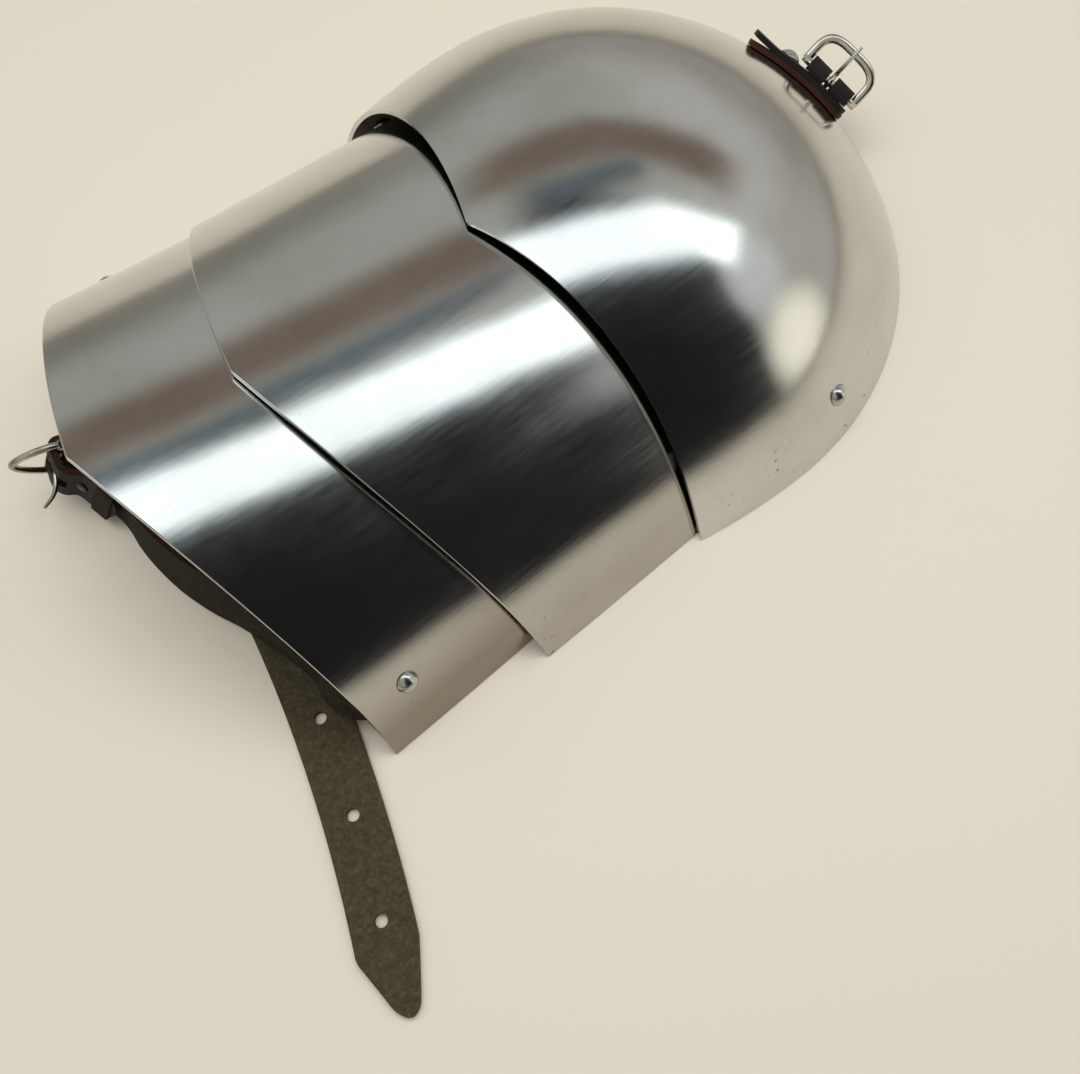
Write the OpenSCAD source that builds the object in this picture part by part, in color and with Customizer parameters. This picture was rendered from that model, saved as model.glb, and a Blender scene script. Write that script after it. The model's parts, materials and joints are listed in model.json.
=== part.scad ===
// Spaulder: a dome, two lames, leather articulation, an arm strap with its
// buckle and a buckled tab at the neck. It lies as it rests on a table.
// The origin is on the table, on the centre line, level with the lower
// corners of the dome. The neck end is +X, the front rim is -Y, up is +Z.
// Sizes are millimetres and degrees.

/* [Plates] */
// Thickness of the steel sheet
sheet = 1.5; // [1.2:0.1:1.8]
// Outer radius of the dome at its bulge
dome_r = 106; // [103:0.5:109]
// From the dome's lower corners to its bulge
bulge_x = 36; // [33:0.5:39]
// Radius of the curve that draws the dome in below its bulge
barrel_r = 235; // [210:5:300]
// How far the plates' common axis lies below the rims
axis_drop = 36.5; // [34:0.5:38]
// Reach of the point in the middle of the dome's lower edge
dome_cusp = 8.8; // [6:0.2:11]
// Radius of the two scallops in the dome's lower edge
dome_scallop_r = 171.5; // [160:0.5:185]
// Radial play between the dome's edge and the middle lame
mid_play = 0.35; // [0.3:0.05:0.8]
// Radial play between the middle lame and the lower lame
low_play = 2.6; // [2.4:0.1:3.4]

/* [Lames] */
// From the dome's lower corners to the middle lame's lower corners
mid_step = 65.4; // [62:0.2:68]
// Length of the middle lame along its rim
mid_len = 88; // [84:1:92]
// Tilt of the middle lame against the dome
mid_tilt = 5.9; // [5:0.1:6.5]
// Reach of the point in the middle of the middle lame's edge
mid_cusp = 31; // [26:1:34]
// From the middle lame's lower corners to the lower lame's
low_step = 52.2; // [50:0.2:55]
// Length of the lower lame along its rim
low_len = 72; // [69:1:76]
// Tilt of the lower lame against the dome
low_tilt = 9.4; // [8.8:0.1:10]
// Reach of the point in the middle of the lower lame's edge
low_cusp = 30.7; // [26:0.5:34]
// How far the middle lame sits towards the front
mid_side = 1.0; // [0:0.1:1.2]
// How far the lower lame sits towards the back
low_side = 1.6; // [0:0.1:2]

/* [Rivets] */
// Radius of the rivet shanks
shank_r = 1.9; // [1.5:0.1:2.2]
// Radius of the domed rivet heads
head_r = 3.5; // [3:0.1:4.2]
// Height of the heads that show
head_h = 2.4; // [1.6:0.1:2.8]
// Height of the heads that the next plate covers
low_head_h = 0.9; // [0.7:0.1:1.1]
// Radius of the burrs
burr_r = 4; // [3.5:0.1:4.5]
// Thickness of the burrs
burr_t = 1; // [0.8:0.1:1.2]
// Radial clearance round a shank that is clamped
fit = 0.05; // [0.02:0.01:0.1]

/* [Leather] */
// Width of the articulation leathers
leather_w = 16; // [14:1:18]
// Thickness of the articulation leathers
leather_t = 2; // [1.8:0.1:2.2]
// Space between leathers that turn against each other
pivot_gap = 0.9; // [0.8:0.1:1.2]
// Space between a leather and the burr that turns against it
burr_gap = 0.65; // [0.55:0.05:0.9]
// Width of the arm strap
strap_w = 18; // [16:1:20]
// Thickness of the arm strap
strap_t = 2.4; // [2:0.1:2.8]
// Radius of the holes in the billet
hole_r = 1.9; // [1.5:0.1:2.4]
// Distance from hole to hole
hole_step = 30; // [24:1:32]
// Number of holes in the billet
hole_count = 7; // [4:1:7]
// From the billet's tip to its first hole
tip_to_hole = 26; // [22:1:30]
// Length of the billet's straight run on the table
billet_straight = 92; // [80:1:100]
// Radius of the billet's sideways curve on the table
billet_curve_r = 460; // [380:10:700]

/* [Buckles] */
// Radius of the arm buckle's bar
arm_bar_r = 1.5; // [1.3:0.1:1.7]
// Depth of the arm buckle from its bar to its far side
arm_depth = 13.5; // [12:0.5:15]
// Thickness of the arm buckle's frame
arm_frame_t = 2.6; // [2.2:0.1:3]
// Length of the arm buckle's tongue
arm_tongue_len = 17; // [16:0.5:19]
// Angle of the arm buckle's frame to the strap
arm_frame_turn = 57; // [50:1:62]
// Angle of the arm buckle's tongue to its frame
arm_tongue_turn = 60; // [56:1:64]
// Length of the strap's fold behind the arm buckle
fold_len = 24; // [22:1:26]
// Radius of the neck buckle's bar
neck_bar_r = 1.3; // [1.1:0.1:1.5]
// Depth of the neck buckle from its bar to its far side
neck_depth = 13; // [11.5:0.5:15]
// Length of the neck buckle's tongue
neck_tongue_len = 16.5; // [15.5:0.5:18]
// Running clearance of the buckles on their bars
run = 0.08; // [0.05:0.01:0.1]

/* [Neck tab] */
// Width of the doubled tab
tab_w = 16; // [14:1:18]
// Thickness of one layer of the tab
tab_t = 1.8; // [1.5:0.1:2]
// From the tab's rivet to its free end
tab_back = 14; // [12:0.5:16]
// From the tab's rivet to its buckle end
tab_front = 25; // [24:0.5:28]
// Clearance between the tab and the dome
tab_clear = 0.3; // [0.25:0.05:0.5]

/* [Hidden] */

$fn = 96;
front = -1;
back = 1;
far = 500;

// Dome: a sphere at the neck end, a barrel towards the arm
dome_centre = [bulge_x, 0, -axis_drop];
scallop_y = 63;
dome_skirt = dome_cusp + 4;

// Radius of the dome's outside at a place along its axis, on the arm side
function barrel_at(x) = dome_r - barrel_r + sqrt(barrel_r * barrel_r - (x - bulge_x) * (x - bulge_x));

// Lames: outer radii, places of their rim corners and tilts
mid_rise = 2.8;
low_rise = 10.8;
mid_r = barrel_at(0) - sheet - mid_play;
mid_pos = [-mid_step, -mid_side, -axis_drop + mid_rise];
mid_edge_r = 324;
mid_edge_y = 60;
low_r = mid_r - sheet - low_play;
low_pos = [-mid_step - low_step, low_side, -axis_drop + low_rise];
low_edge_r = 470;
low_edge_y = 108.6;

// Rivet places: along each lame from its lower corners, and height angles
dome_rivet_fwd = 12;
dome_rivet_up = 29.6;
pivot_up = 38;
mid_pivot_in = 20.7;
low_pivot_in = 11.4;
mid_pivot_x = mid_len - mid_pivot_in;
low_pivot_x = low_len - low_pivot_in;
strap_rivet_x = 13.4;
strap_rivet_up = 30;

// Heads that the next piece limits, and how far a peened end stands out of its burr
mid_head_max = 1.8;
neck_head_max = 2;
peen = 0.5;
// Clearance of a flat burr under a sheet or strap that curves round it
burr_seat = 0.2;

// Stack of leathers inside the middle rivets, outside to inside
sag = 0.45;
dome_sag = 0.6;
pad_sag = 0.55;
low_leather_r = mid_r - sheet - sag - leather_t / 2;
up_leather_r = low_leather_r - leather_t - pivot_gap;
mid_burr_r = up_leather_r - leather_t / 2 - burr_gap;
low_pivot_r = low_r - sheet - sag - pivot_gap - leather_t / 2;
low_burr_r = low_pivot_r - leather_t / 2 - burr_gap;
dome_leather_r = dome_r - sheet - dome_sag - leather_t / 2;
dome_burr_r = dome_leather_r - leather_t / 2;
strap_pad_r = low_r - sheet - pad_sag - strap_t / 2;
strap_burr_r = strap_pad_r - strap_t / 2 - burr_seat;
swing_fit = 0.35;
// Leather beyond its rivets, and the flat length from a rivet towards the next
leather_tail = 6.5;
dome_tail = 8;
dome_flat = 7;
mid_upper_flat = 21;
mid_lower_flat = 11;
low_flat = 14.5;

function unit(v) = v / norm(v);
function flat_to(v, n) = unit(v - (v * n) * n);
function tilted(v, a) = [v.x * cos(a) + v.z * sin(a), v.y, v.z * cos(a) - v.x * sin(a)];
function radial(side, up) = [0, side * cos(up), sin(up)];
function mid_point(x, side, up, r) = mid_pos + tilted([x, 0, 0] + r * radial(side, up), mid_tilt);
function low_point(x, side, up, r) = low_pos + tilted([x, 0, 0] + r * radial(side, up), low_tilt);
function mid_normal(side, up) = tilted(radial(side, up), mid_tilt);
function low_normal(side, up) = tilted(radial(side, up), low_tilt);
function dome_normal(side) =
  [sin(dome_rivet_fwd), side * cos(dome_rivet_fwd) * cos(dome_rivet_up), cos(dome_rivet_fwd) * sin(dome_rivet_up)];

// Frames: the lames' own, and places on them with +Z pointing outwards
module in_mid() { translate(mid_pos) rotate([0, mid_tilt, 0]) children(); }
module in_low() { translate(low_pos) rotate([0, low_tilt, 0]) children(); }
module on_lame(x, side, up, r) {
  translate([x, 0, 0]) rotate([-side * (90 - up), 0, 0]) translate([0, 0, r]) children();
}
module on_dome(side, r) {
  translate(dome_centre) rotate([-side * (90 - dome_rivet_up), 0, 0]) rotate([0, dome_rivet_fwd, 0])
    translate([0, 0, r]) children();
}

// Everything above the table
module above_table() { translate([-far, -far, 0]) cube([2 * far, 2 * far, far]); }

// A hole through sheet or leather, with its middle at the origin, turned a
// little so that its seam keeps off the strips' own edges
hole_len = 8;
hole_turn = 25;
module through(r) { rotate([0, 0, hole_turn]) cylinder(r = r, h = hole_len, center = true, $fn = 48); }

// A rivet: domed head above the origin, shank down to its peened end
module rivet(head, height, depth) {
  ball = (head * head + height * height) / (2 * height);
  union() {
    intersection() {
      translate([0, 0, height - ball]) sphere(r = ball);
      cylinder(r = head + 1, h = height + 1);
    }
    translate([0, 0, -depth]) cylinder(r = shank_r, h = depth + height / 2);
  }
}

// A burr: the washer under the peened end, from the origin inwards
module burr() {
  translate([0, 0, -burr_t]) difference() {
    cylinder(r = burr_r, h = burr_t);
    translate([0, 0, -1]) cylinder(r = shank_r + fit, h = burr_t + 2);
  }
}

// A strip of leather through stations of [middle, across, normal, width]
function ring(s, t) = let(a = s[1] * s[3] / 2, n = s[2] * t / 2)
  [s[0] - a - n, s[0] + a - n, s[0] + a + n, s[0] - a + n];
module ribbon(stations, t) {
  last = len(stations) - 1;
  side_faces = [for (i = [0:last - 1]) for (j = [0:3]) let(a = 4 * i + j, b = 4 * i + (j + 1) % 4)
    each [[a, b, b + 4], [a, b + 4, a + 4]]];
  ends = [[0, 3, 2], [0, 2, 1],
    [4 * last, 4 * last + 1, 4 * last + 2], [4 * last, 4 * last + 2, 4 * last + 3]];
  polyhedron(points = [for (s = stations) each ring(s, t)], faces = concat(side_faces, ends));
}

// Stations of the free run between two flat ends, turning evenly
function free_run(q1, n1, q2, n2, steps) = let(u = unit(q2 - q1))
  [for (k = [1:steps - 1]) let(f = k / steps, n = flat_to(n1 * (1 - f) + n2 * f, u))
    [q1 * (1 - f) + q2 * f, cross(n, u), n, leather_w]];

// Stations of an articulation leather from rivet 1 to rivet 2, flat round each
function leather_run(p1, n1, tail1, flat1, p2, n2, flat2, tail2) =
  let(u1 = flat_to(p2 - p1, n1), u2 = flat_to(p2 - p1, n2), a1 = cross(n1, u1), a2 = cross(n2, u2)) [
    [p1 - u1 * tail1, a1, n1, leather_w * 0.5],
    [p1 - u1 * tail1 * 0.7, a1, n1, leather_w * 0.85],
    [p1 - u1 * tail1 * 0.2, a1, n1, leather_w],
    [p1 + u1 * flat1, a1, n1, leather_w],
    each free_run(p1 + u1 * flat1, n1, p2 - u2 * flat2, n2, 6),
    [p2 - u2 * flat2, a2, n2, leather_w],
    [p2 - u2 * tail2 * 0.2, a2, n2, leather_w * 0.95],
    [p2 + u2 * tail2 * 0.6, a2, n2, leather_w * 0.75],
    [p2 + u2 * tail2, a2, n2, leather_w * 0.4]
  ];

module dome_solid(inset) {
  r = dome_r - inset;
  translate([0, 0, -axis_drop]) rotate([0, 90, 0]) rotate_extrude() union() {
    intersection() {
      translate([0, bulge_x]) circle(r = r);
      translate([0, bulge_x]) square([far, far]);
    }
    intersection() {
      translate([dome_r - barrel_r, bulge_x]) circle(r = barrel_r - inset, $fn = 360);
      translate([0, -dome_skirt - inset]) square([far, bulge_x + dome_skirt + inset]);
    }
  }
}

module dome_plate() {
  scallop_x = -dome_cusp - sqrt(dome_scallop_r * dome_scallop_r - scallop_y * scallop_y);
  color([0.72, 0.74, 0.74]) difference() {
    intersection() {
      dome_solid(0);
      above_table();
    }
    dome_solid(sheet);
    for (side = [front, back]) {
      translate([scallop_x, side * scallop_y, -1]) cylinder(r = dome_scallop_r, h = 2 * dome_r, $fn = 360);
      on_dome(side, dome_r - sheet / 2) through(shank_r + fit);
    }
    in_neck() translate([0, 0, dome_r - sheet / 2]) through(shank_r + fit);
  }
}

// A lame: a tube cut to two arcs that meet in the point of its lower edge
module lame_tube(r, length, cusp, edge_r, edge_y) {
  edge_x = -cusp + sqrt(edge_r * edge_r - edge_y * edge_y);
  intersection() {
    translate([-cusp - 5, 0, 0]) rotate([0, 90, 0]) difference() {
      cylinder(r = r, h = length + cusp + 5, $fn = 180);
      translate([0, 0, -1]) cylinder(r = r - sheet, h = length + cusp + 7, $fn = 180);
    }
    translate([edge_x, -edge_y, -far / 2]) cylinder(r = edge_r, h = far, $fn = 360);
    translate([edge_x, edge_y, -far / 2]) cylinder(r = edge_r, h = far, $fn = 360);
  }
}

module middle_lame() {
  color([0.75, 0.77, 0.77]) intersection() {
    in_mid() difference() {
      lame_tube(mid_r, mid_len, mid_cusp, mid_edge_r, mid_edge_y);
      for (side = [front, back]) on_lame(mid_pivot_x, side, pivot_up, mid_r - sheet / 2) through(shank_r + fit);
    }
    above_table();
  }
}

module lower_lame() {
  color([0.78, 0.8, 0.8]) intersection() {
    in_low() difference() {
      lame_tube(low_r, low_len, low_cusp, low_edge_r, low_edge_y);
      for (side = [front, back]) {
        on_lame(low_pivot_x, side, pivot_up, low_r - sheet / 2) through(shank_r + fit);
        on_lame(strap_rivet_x, side, strap_rivet_up, low_r - sheet / 2) through(shank_r + fit);
      }
    }
    above_table();
  }
}

// Articulation leathers, inside the plates
module upper_leather(side) {
  p1 = dome_centre + dome_leather_r * dome_normal(side);
  p2 = mid_point(mid_pivot_x, side, pivot_up, up_leather_r);
  color([0.3, 0.18, 0.12]) difference() {
    ribbon(leather_run(p1, dome_normal(side), dome_tail, dome_flat,
      p2, mid_normal(side, pivot_up), mid_upper_flat, leather_tail), leather_t);
    on_dome(side, dome_leather_r) through(shank_r + fit);
    in_mid() on_lame(mid_pivot_x, side, pivot_up, up_leather_r) through(shank_r + swing_fit);
  }
}

module lower_leather(side) {
  p1 = mid_point(mid_pivot_x, side, pivot_up, low_leather_r);
  p2 = low_point(low_pivot_x, side, pivot_up, low_pivot_r);
  color([0.3, 0.18, 0.12]) difference() {
    ribbon(leather_run(p1, mid_normal(side, pivot_up), leather_tail, mid_lower_flat,
      p2, low_normal(side, pivot_up), low_flat, leather_tail), leather_t);
    in_mid() on_lame(mid_pivot_x, side, pivot_up, low_leather_r) through(shank_r + fit);
    in_low() on_lame(low_pivot_x, side, pivot_up, low_pivot_r) through(shank_r + swing_fit);
  }
}

// Rivets and burrs
module dome_rivet(side) {
  color([0.85, 0.85, 0.84]) on_dome(side, dome_r) rivet(head_r, head_h, dome_r - dome_burr_r + burr_t + peen);
}
module dome_burr(side) { color([0.6, 0.6, 0.6]) on_dome(side, dome_burr_r) burr(); }
module middle_rivet(side) {
  color([0.85, 0.85, 0.84]) in_mid() on_lame(mid_pivot_x, side, pivot_up, mid_r)
    rivet(head_r, min(head_h, mid_head_max), mid_r - mid_burr_r + burr_t + peen);
}
module middle_burr(side) { color([0.6, 0.6, 0.6]) in_mid() on_lame(mid_pivot_x, side, pivot_up, mid_burr_r) burr(); }
module lower_rivet(side) {
  color([0.85, 0.85, 0.84]) in_low() on_lame(low_pivot_x, side, pivot_up, low_r)
    rivet(head_r, low_head_h, low_r - low_burr_r + burr_t + peen);
}
module lower_burr(side) { color([0.6, 0.6, 0.6]) in_low() on_lame(low_pivot_x, side, pivot_up, low_burr_r) burr(); }
module strap_rivet(side) {
  color([0.85, 0.85, 0.84]) in_low() on_lame(strap_rivet_x, side, strap_rivet_up, low_r)
    rivet(head_r, head_h, low_r - strap_burr_r + burr_t + peen);
}
module strap_burr(side) {
  color([0.6, 0.6, 0.6]) in_low() on_lame(strap_rivet_x, side, strap_rivet_up, strap_burr_r) burr();
}

// Billet: from its rivet down the lame's inside, round a bend, flat on the table
bend_r = 4.4;
billet_tail = 9;
// The bent run ends this much thinner, inside the flat run
seam = 0.3;
lay_up = 2.9;
lay_side = 1.9;
lay_back = 21;
tip_len = 15;
tip_blunt = 0.22;
bend_z = (lay_up - low_pos.z + strap_rivet_x * sin(low_tilt)) / cos(low_tilt) + bend_r;
bend_y = sqrt((strap_pad_r - bend_r) * (strap_pad_r - bend_r) - bend_z * bend_z);
bend_from = atan2(bend_z, bend_y);
flat_heading = 8.5;
flat_from = low_point(strap_rivet_x, back, 0, 0) + [bend_z * sin(low_tilt) - lay_side, bend_y - lay_back, 0];
last_hole_at = 14.5;
curved_len = (hole_count - 1) * hole_step + tip_to_hole - billet_straight + last_hole_at;
billet_len = billet_straight + curved_len;

function pad_station(up) = [low_point(strap_rivet_x, back, up, strap_pad_r), tilted([1, 0, 0], low_tilt),
  low_normal(back, up), strap_w];
function bend_station(a) = [
  low_pos + tilted([strap_rivet_x, bend_y + bend_r * cos(a), bend_z + bend_r * sin(a)], low_tilt),
  tilted([1, 0, 0], low_tilt), tilted([0, cos(a), sin(a)], low_tilt), strap_w];
// Place on the table, heading and half width at a distance along the flat run
function billet_heading(s) = flat_heading + max(0, s - billet_straight) / billet_curve_r * 180 / PI;
function billet_xy(s) = let(h = flat_heading, d = min(s, billet_straight), e = billet_heading(s))
  [flat_from.x, flat_from.y] - d * [sin(h), cos(h)]
  - billet_curve_r * [cos(h) - cos(e), sin(e) - sin(h)];
function billet_half(s) = let(d = max(0, billet_len - s), half = strap_w / 2)
  d > tip_len ? half
    : half * (tip_blunt + (1 - tip_blunt) * sqrt(1 - pow(1 - d / tip_len, 1.6))) * min(1, 0.4 + d / 4);
function flat_station(s, z, w) = let(h = billet_heading(s), p = billet_xy(s))
  [[p.x, p.y, z], [cos(h), -sin(h), 0], [0, 0, -1], w];

module billet_outline() {
  marks = [0, billet_straight, for (s = [billet_straight + 12:12:billet_len - tip_len - 1]) s,
    for (f = [0:7]) billet_len - tip_len * pow(1 - f / 7, 1.3)];
  left = [for (s = marks) let(h = billet_heading(s)) billet_xy(s) + billet_half(s) * [cos(h), -sin(h)]];
  right = [for (i = [len(marks) - 1:-1:0]) let(s = marks[i], h = billet_heading(s))
    billet_xy(s) - billet_half(s) * [cos(h), -sin(h)]];
  polygon(concat(left, right));
}

module billet_strap() {
  tail_up = strap_rivet_up + billet_tail / strap_pad_r * 180 / PI;
  color([0.2, 0.17, 0.12]) difference() {
    union() {
      ribbon([
        for (up = [tail_up, strap_rivet_up, bend_from + 1.5]) pad_station(up),
        for (a = [bend_from:-(90 + bend_from) / 6:-89]) bend_station(a),
        bend_station(-90),
        flat_station(-8, strap_t / 2 + 0.6, strap_w),
        flat_station(-0.5, strap_t / 2, strap_w),
        flat_station(0.5, strap_t / 2, strap_w - seam)
      ], strap_t - seam);
      linear_extrude(height = strap_t) billet_outline();
    }
    in_low() on_lame(strap_rivet_x, back, strap_rivet_up, strap_pad_r) through(shank_r + fit);
    for (k = [0:hole_count - 1]) let(p = billet_xy(billet_len - tip_to_hole - k * hole_step))
      translate([p.x, p.y, -1]) cylinder(r = hole_r, h = strap_t + 2, $fn = 48);
  }
}

// Arm buckle's bar: place, direction of the strap there, and lean of the bar
bar_at = [low_pos.x - 21.8, 41.5, 20];
bar_heading = 104.5;
bar_climb = 23.6;
bar_lean = 14.2;
layer_y = -1.0;
loop_wall = 2;
loop_r = arm_bar_r + run + loop_wall;
tongue_w = 3.4;
slot_w = tongue_w + 1.6;
slot_back = 4.2;
slot_len = loop_r + 6;
fold_rivet_in = 11;
fold_shank_r = 1.3;

// In the bar's frame +X follows the strap, +Y is its outer side, +Z the bar
module in_bar() {
  translate(bar_at) rotate([0, 0, bar_heading]) rotate([0, -bar_climb, 0]) rotate([bar_lean, 0, 0]) children();
}
bar_x = [cos(bar_climb) * cos(bar_heading), cos(bar_climb) * sin(bar_heading), sin(bar_climb)];
bar_right = unit(cross(bar_x, [0, 0, 1]));
bar_z = cross(bar_right, bar_x) * cos(bar_lean) + bar_right * sin(bar_lean);
bar_y = cross(bar_z, bar_x);
function bar_point(v) = bar_at + v.x * bar_x + v.y * bar_y + v.z * bar_z;

// Buckle strap: [X from the lame's corners, Y, height of the lower edge, lean]
strap_way = [
  [5.0, -60, 5.6, 28], [2.2, -49, 4.4, 26], [-0.7, -40, 3.5, 25], [-4.0, -31, 3.1, 23],
  [-8.6, -21, 2.3, 21], [-12.4, -10, 1.6, 19], [-14.6, 1, 1.2, 17], [-15.4, 10, 1.2, 15.5]
];
turn_r = 12;
turn_drop = 22;
pad_tail = 9;
pad_flat = 4.6;
pad_mid = low_point(strap_rivet_x, front, strap_rivet_up, strap_pad_r);
pad_x = tilted([1, 0, 0], low_tilt);
turn_from = pad_mid - pad_flat * pad_x;
way_points = [
  pad_mid + pad_tail * pad_x,
  pad_mid,
  turn_from,
  for (a = [30, 60, 90]) turn_from + [-turn_r * sin(a), turn_r * (1 - cos(a)), -a / turn_drop],
  for (w = strap_way) [low_pos.x + w[0], w[1], w[2] + strap_w / 2 * cos(w[3])],
  bar_point([-fold_len, layer_y, 0]),
  bar_point([-arm_bar_r, layer_y, 0])
];
way_leans = [30, 30, 30, 30, 29.5, 29, for (w = strap_way) w[3], bar_lean, bar_lean];
function way_station(i) = let(
    last = len(way_points) - 1,
    t = i <= 2 ? -pad_x
      : i >= last - 1 ? bar_x
      : unit(way_points[min(i + 1, last)] - way_points[max(i - 1, 0)]),
    r = unit(cross(t, [0, 0, 1])),
    w = cross(r, t) * cos(way_leans[i]) + r * sin(way_leans[i]))
  [way_points[i], w, cross(w, t), strap_w];

module buckle_strap() {
  color([0.2, 0.17, 0.12]) difference() {
    union() {
      ribbon([for (i = [0:len(way_points) - 1]) way_station(i)], strap_t);
      in_bar() {
        cylinder(r = loop_r, h = strap_w - seam, center = true);
        translate([-fold_len, layer_y + strap_t / 2 - seam, -(strap_w - seam) / 2])
          cube([fold_len, strap_t + seam, strap_w - seam]);
      }
    }
    in_low() on_lame(strap_rivet_x, front, strap_rivet_up, strap_pad_r) through(shank_r + fit);
    in_bar() {
      cylinder(r = arm_bar_r + run, h = strap_w + 2, center = true);
      translate([-slot_back, -loop_r - 1, -slot_w / 2]) cube([slot_len, 2 * loop_r + 2, slot_w]);
      translate([-slot_back - 3, layer_y + strap_t / 2, -slot_w / 2]) cube([slot_len, 2 * loop_r + 2, slot_w]);
      translate([-fold_rivet_in, layer_y + strap_t / 2, 0]) rotate([90, 0, 0])
        cylinder(r = fold_shank_r + fit, h = 5 * strap_t, center = true);
    }
  }
}

// The small rivet through the fold: domed head outside, flat foot inside
module fold_rivet() {
  ball = 3.4;
  head = 1.1;
  foot = 0.8;
  foot_r = 2.4;
  color([0.7, 0.7, 0.68]) in_bar() translate([-fold_rivet_in, layer_y + strap_t * 1.5, 0]) rotate([-90, 0, 0])
    union() {
      intersection() {
        translate([0, 0, head - ball]) sphere(r = ball);
        cylinder(r = ball, h = head + 1);
      }
      translate([0, 0, -2 * strap_t - foot]) cylinder(r = fold_shank_r, h = 2 * strap_t + foot + head / 2);
      translate([0, 0, -2 * strap_t - foot]) cylinder(r = foot_r, h = foot);
    }
}

// The loop that holds the billet's free end down on the fold
module strap_keeper() {
  room = 0.15;
  wall = 1.5;
  keeper_w = 6;
  keeper_from = 2;
  color([0.22, 0.15, 0.11]) in_bar() translate([-fold_len + keeper_from, layer_y + strap_t / 2, 0])
    rotate([90, 0, 90]) linear_extrude(height = keeper_w) difference() {
      square([2 * (strap_t + room + wall), strap_w + 2 * (room + wall)], center = true);
      square([2 * (strap_t + room), strap_w + 2 * room], center = true);
    }
}

// A buckle frame on a bar along Z: it reaches out along +X
module buckle_frame(inside, depth, bar_radius, band, thick) {
  half = inside / 2 + band;
  outer_corner = 4;
  inner_corner = 2.5;
  union() {
    cylinder(r = bar_radius, h = inside + 2 * band - 0.4, center = true);
    rotate([90, 0, 0]) translate([0, 0, -thick / 2]) linear_extrude(height = thick) difference() {
      union() {
        translate([-bar_radius, -half]) square([depth + band / 2 + bar_radius - outer_corner, 2 * half]);
        translate([0, -half + outer_corner]) square([depth + band / 2, 2 * (half - outer_corner)]);
        for (side = [-1, 1]) translate([depth + band / 2 - outer_corner, side * (half - outer_corner)])
          circle(r = outer_corner);
      }
      translate([-bar_radius - 1, -inside / 2]) square([depth - band / 2 + bar_radius + 1 - inner_corner, inside]);
      translate([0, -inside / 2 + inner_corner]) square([depth - band / 2, inside - 2 * inner_corner]);
      for (side = [-1, 1]) translate([depth - band / 2 - inner_corner, side * (inside / 2 - inner_corner)])
        circle(r = inner_corner);
    }
  }
}

// A tongue that turns on the bar: a ring and a rod along +X with a round tip
module buckle_tongue(reach, bar_radius, rod) {
  ring_wall = 1.3;
  hole = bar_radius + run;
  root = hole + ring_wall / 2;
  union() {
    difference() {
      cylinder(r = hole + ring_wall, h = tongue_w, center = true);
      cylinder(r = hole, h = tongue_w + 2, center = true);
    }
    translate([root, 0, 0]) rotate([0, 90, 0]) cylinder(r = rod, h = reach - root - rod);
    translate([reach - rod, 0, 0]) sphere(r = rod);
  }
}

arm_inside = strap_w + 0.8;
arm_band = 2.8;
arm_rod = 1;
module arm_buckle_frame() {
  color([0.83, 0.83, 0.8]) in_bar() rotate([0, 0, arm_frame_turn])
    buckle_frame(arm_inside, arm_depth, arm_bar_r, arm_band, arm_frame_t);
}
module arm_buckle_tongue() {
  color([0.8, 0.8, 0.78]) in_bar() rotate([0, 0, arm_frame_turn + arm_tongue_turn])
    buckle_tongue(arm_tongue_len, arm_bar_r, arm_rod);
}

// Neck tab: its frame has +Z outwards through the rivet and +X along the tab
neck_turn = 4;
neck_down = 52;
tab_slant = -66.6;
tab_r = dome_r + tab_clear;
neck_loop_wall = 1.7;
neck_loop_r = neck_bar_r + run + neck_loop_wall;
neck_inside = 18.2;
neck_band = 2.4;
neck_frame_t = 2.2;
neck_rod = 0.9;
neck_bar_in = 10.8;
neck_loop_sunk = 1;
neck_bar_turn = asin((tab_front - neck_bar_in) / dome_r);
neck_bar_up = tab_r + 2 * tab_t + neck_loop_r - neck_loop_sunk;
neck_tongue_turn = 14;
tab_corner = 3;
splay = 12;
splay_from = 6;
splay_len = 9.5;
module in_neck() {
  translate(dome_centre) rotate([0, 0, neck_turn]) rotate([0, neck_down, 0]) rotate([0, 0, tab_slant]) children();
}
module on_tab() { rotate([0, neck_bar_turn, 0]) translate([0, 0, neck_bar_up]) rotate([0, -90, 0]) children(); }
module in_neck_bar() { in_neck() on_tab() children(); }

// A piece of leather that follows the dome, between two places along the tab
module tab_layer(inner, outer, from, to) {
  intersection() {
    difference() {
      sphere(r = outer, $fn = 180);
      sphere(r = inner, $fn = 180);
    }
    translate([0, 0, dome_r - tab_w]) linear_extrude(height = 2 * tab_w) union() {
      translate([from, -tab_w / 2 + tab_corner]) square([to - from, tab_w - 2 * tab_corner]);
      translate([from + tab_corner, -tab_w / 2]) square([to - from - 2 * tab_corner, tab_w]);
      for (x = [from + tab_corner, to - tab_corner], side = [front, back])
        translate([x, side * (tab_w / 2 - tab_corner)]) circle(r = tab_corner);
    }
  }
}

module neck_tab() {
  color([0.2, 0.13, 0.1]) in_neck() difference() {
    union() {
      tab_layer(tab_r, tab_r + tab_t, -tab_back, tab_front);
      tab_layer(tab_r + tab_t - 0.1, tab_r + 2 * tab_t, -splay_from - 1, tab_front);
      translate([-splay_from, 0, tab_r + tab_t]) rotate([0, splay, 0]) translate([1 - splay_len, -tab_w / 2, 0])
        cube([splay_len, tab_w, tab_t]);
      on_tab() cylinder(r = neck_loop_r, h = neck_inside - 0.6, center = true);
    }
    translate([0, 0, tab_r + tab_t]) through(shank_r + fit);
    on_tab() {
      cylinder(r = neck_bar_r + run, h = neck_inside + 2, center = true);
      cylinder(r = neck_loop_r + 0.1, h = tongue_w + 0.8, center = true);
    }
  }
}

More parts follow.
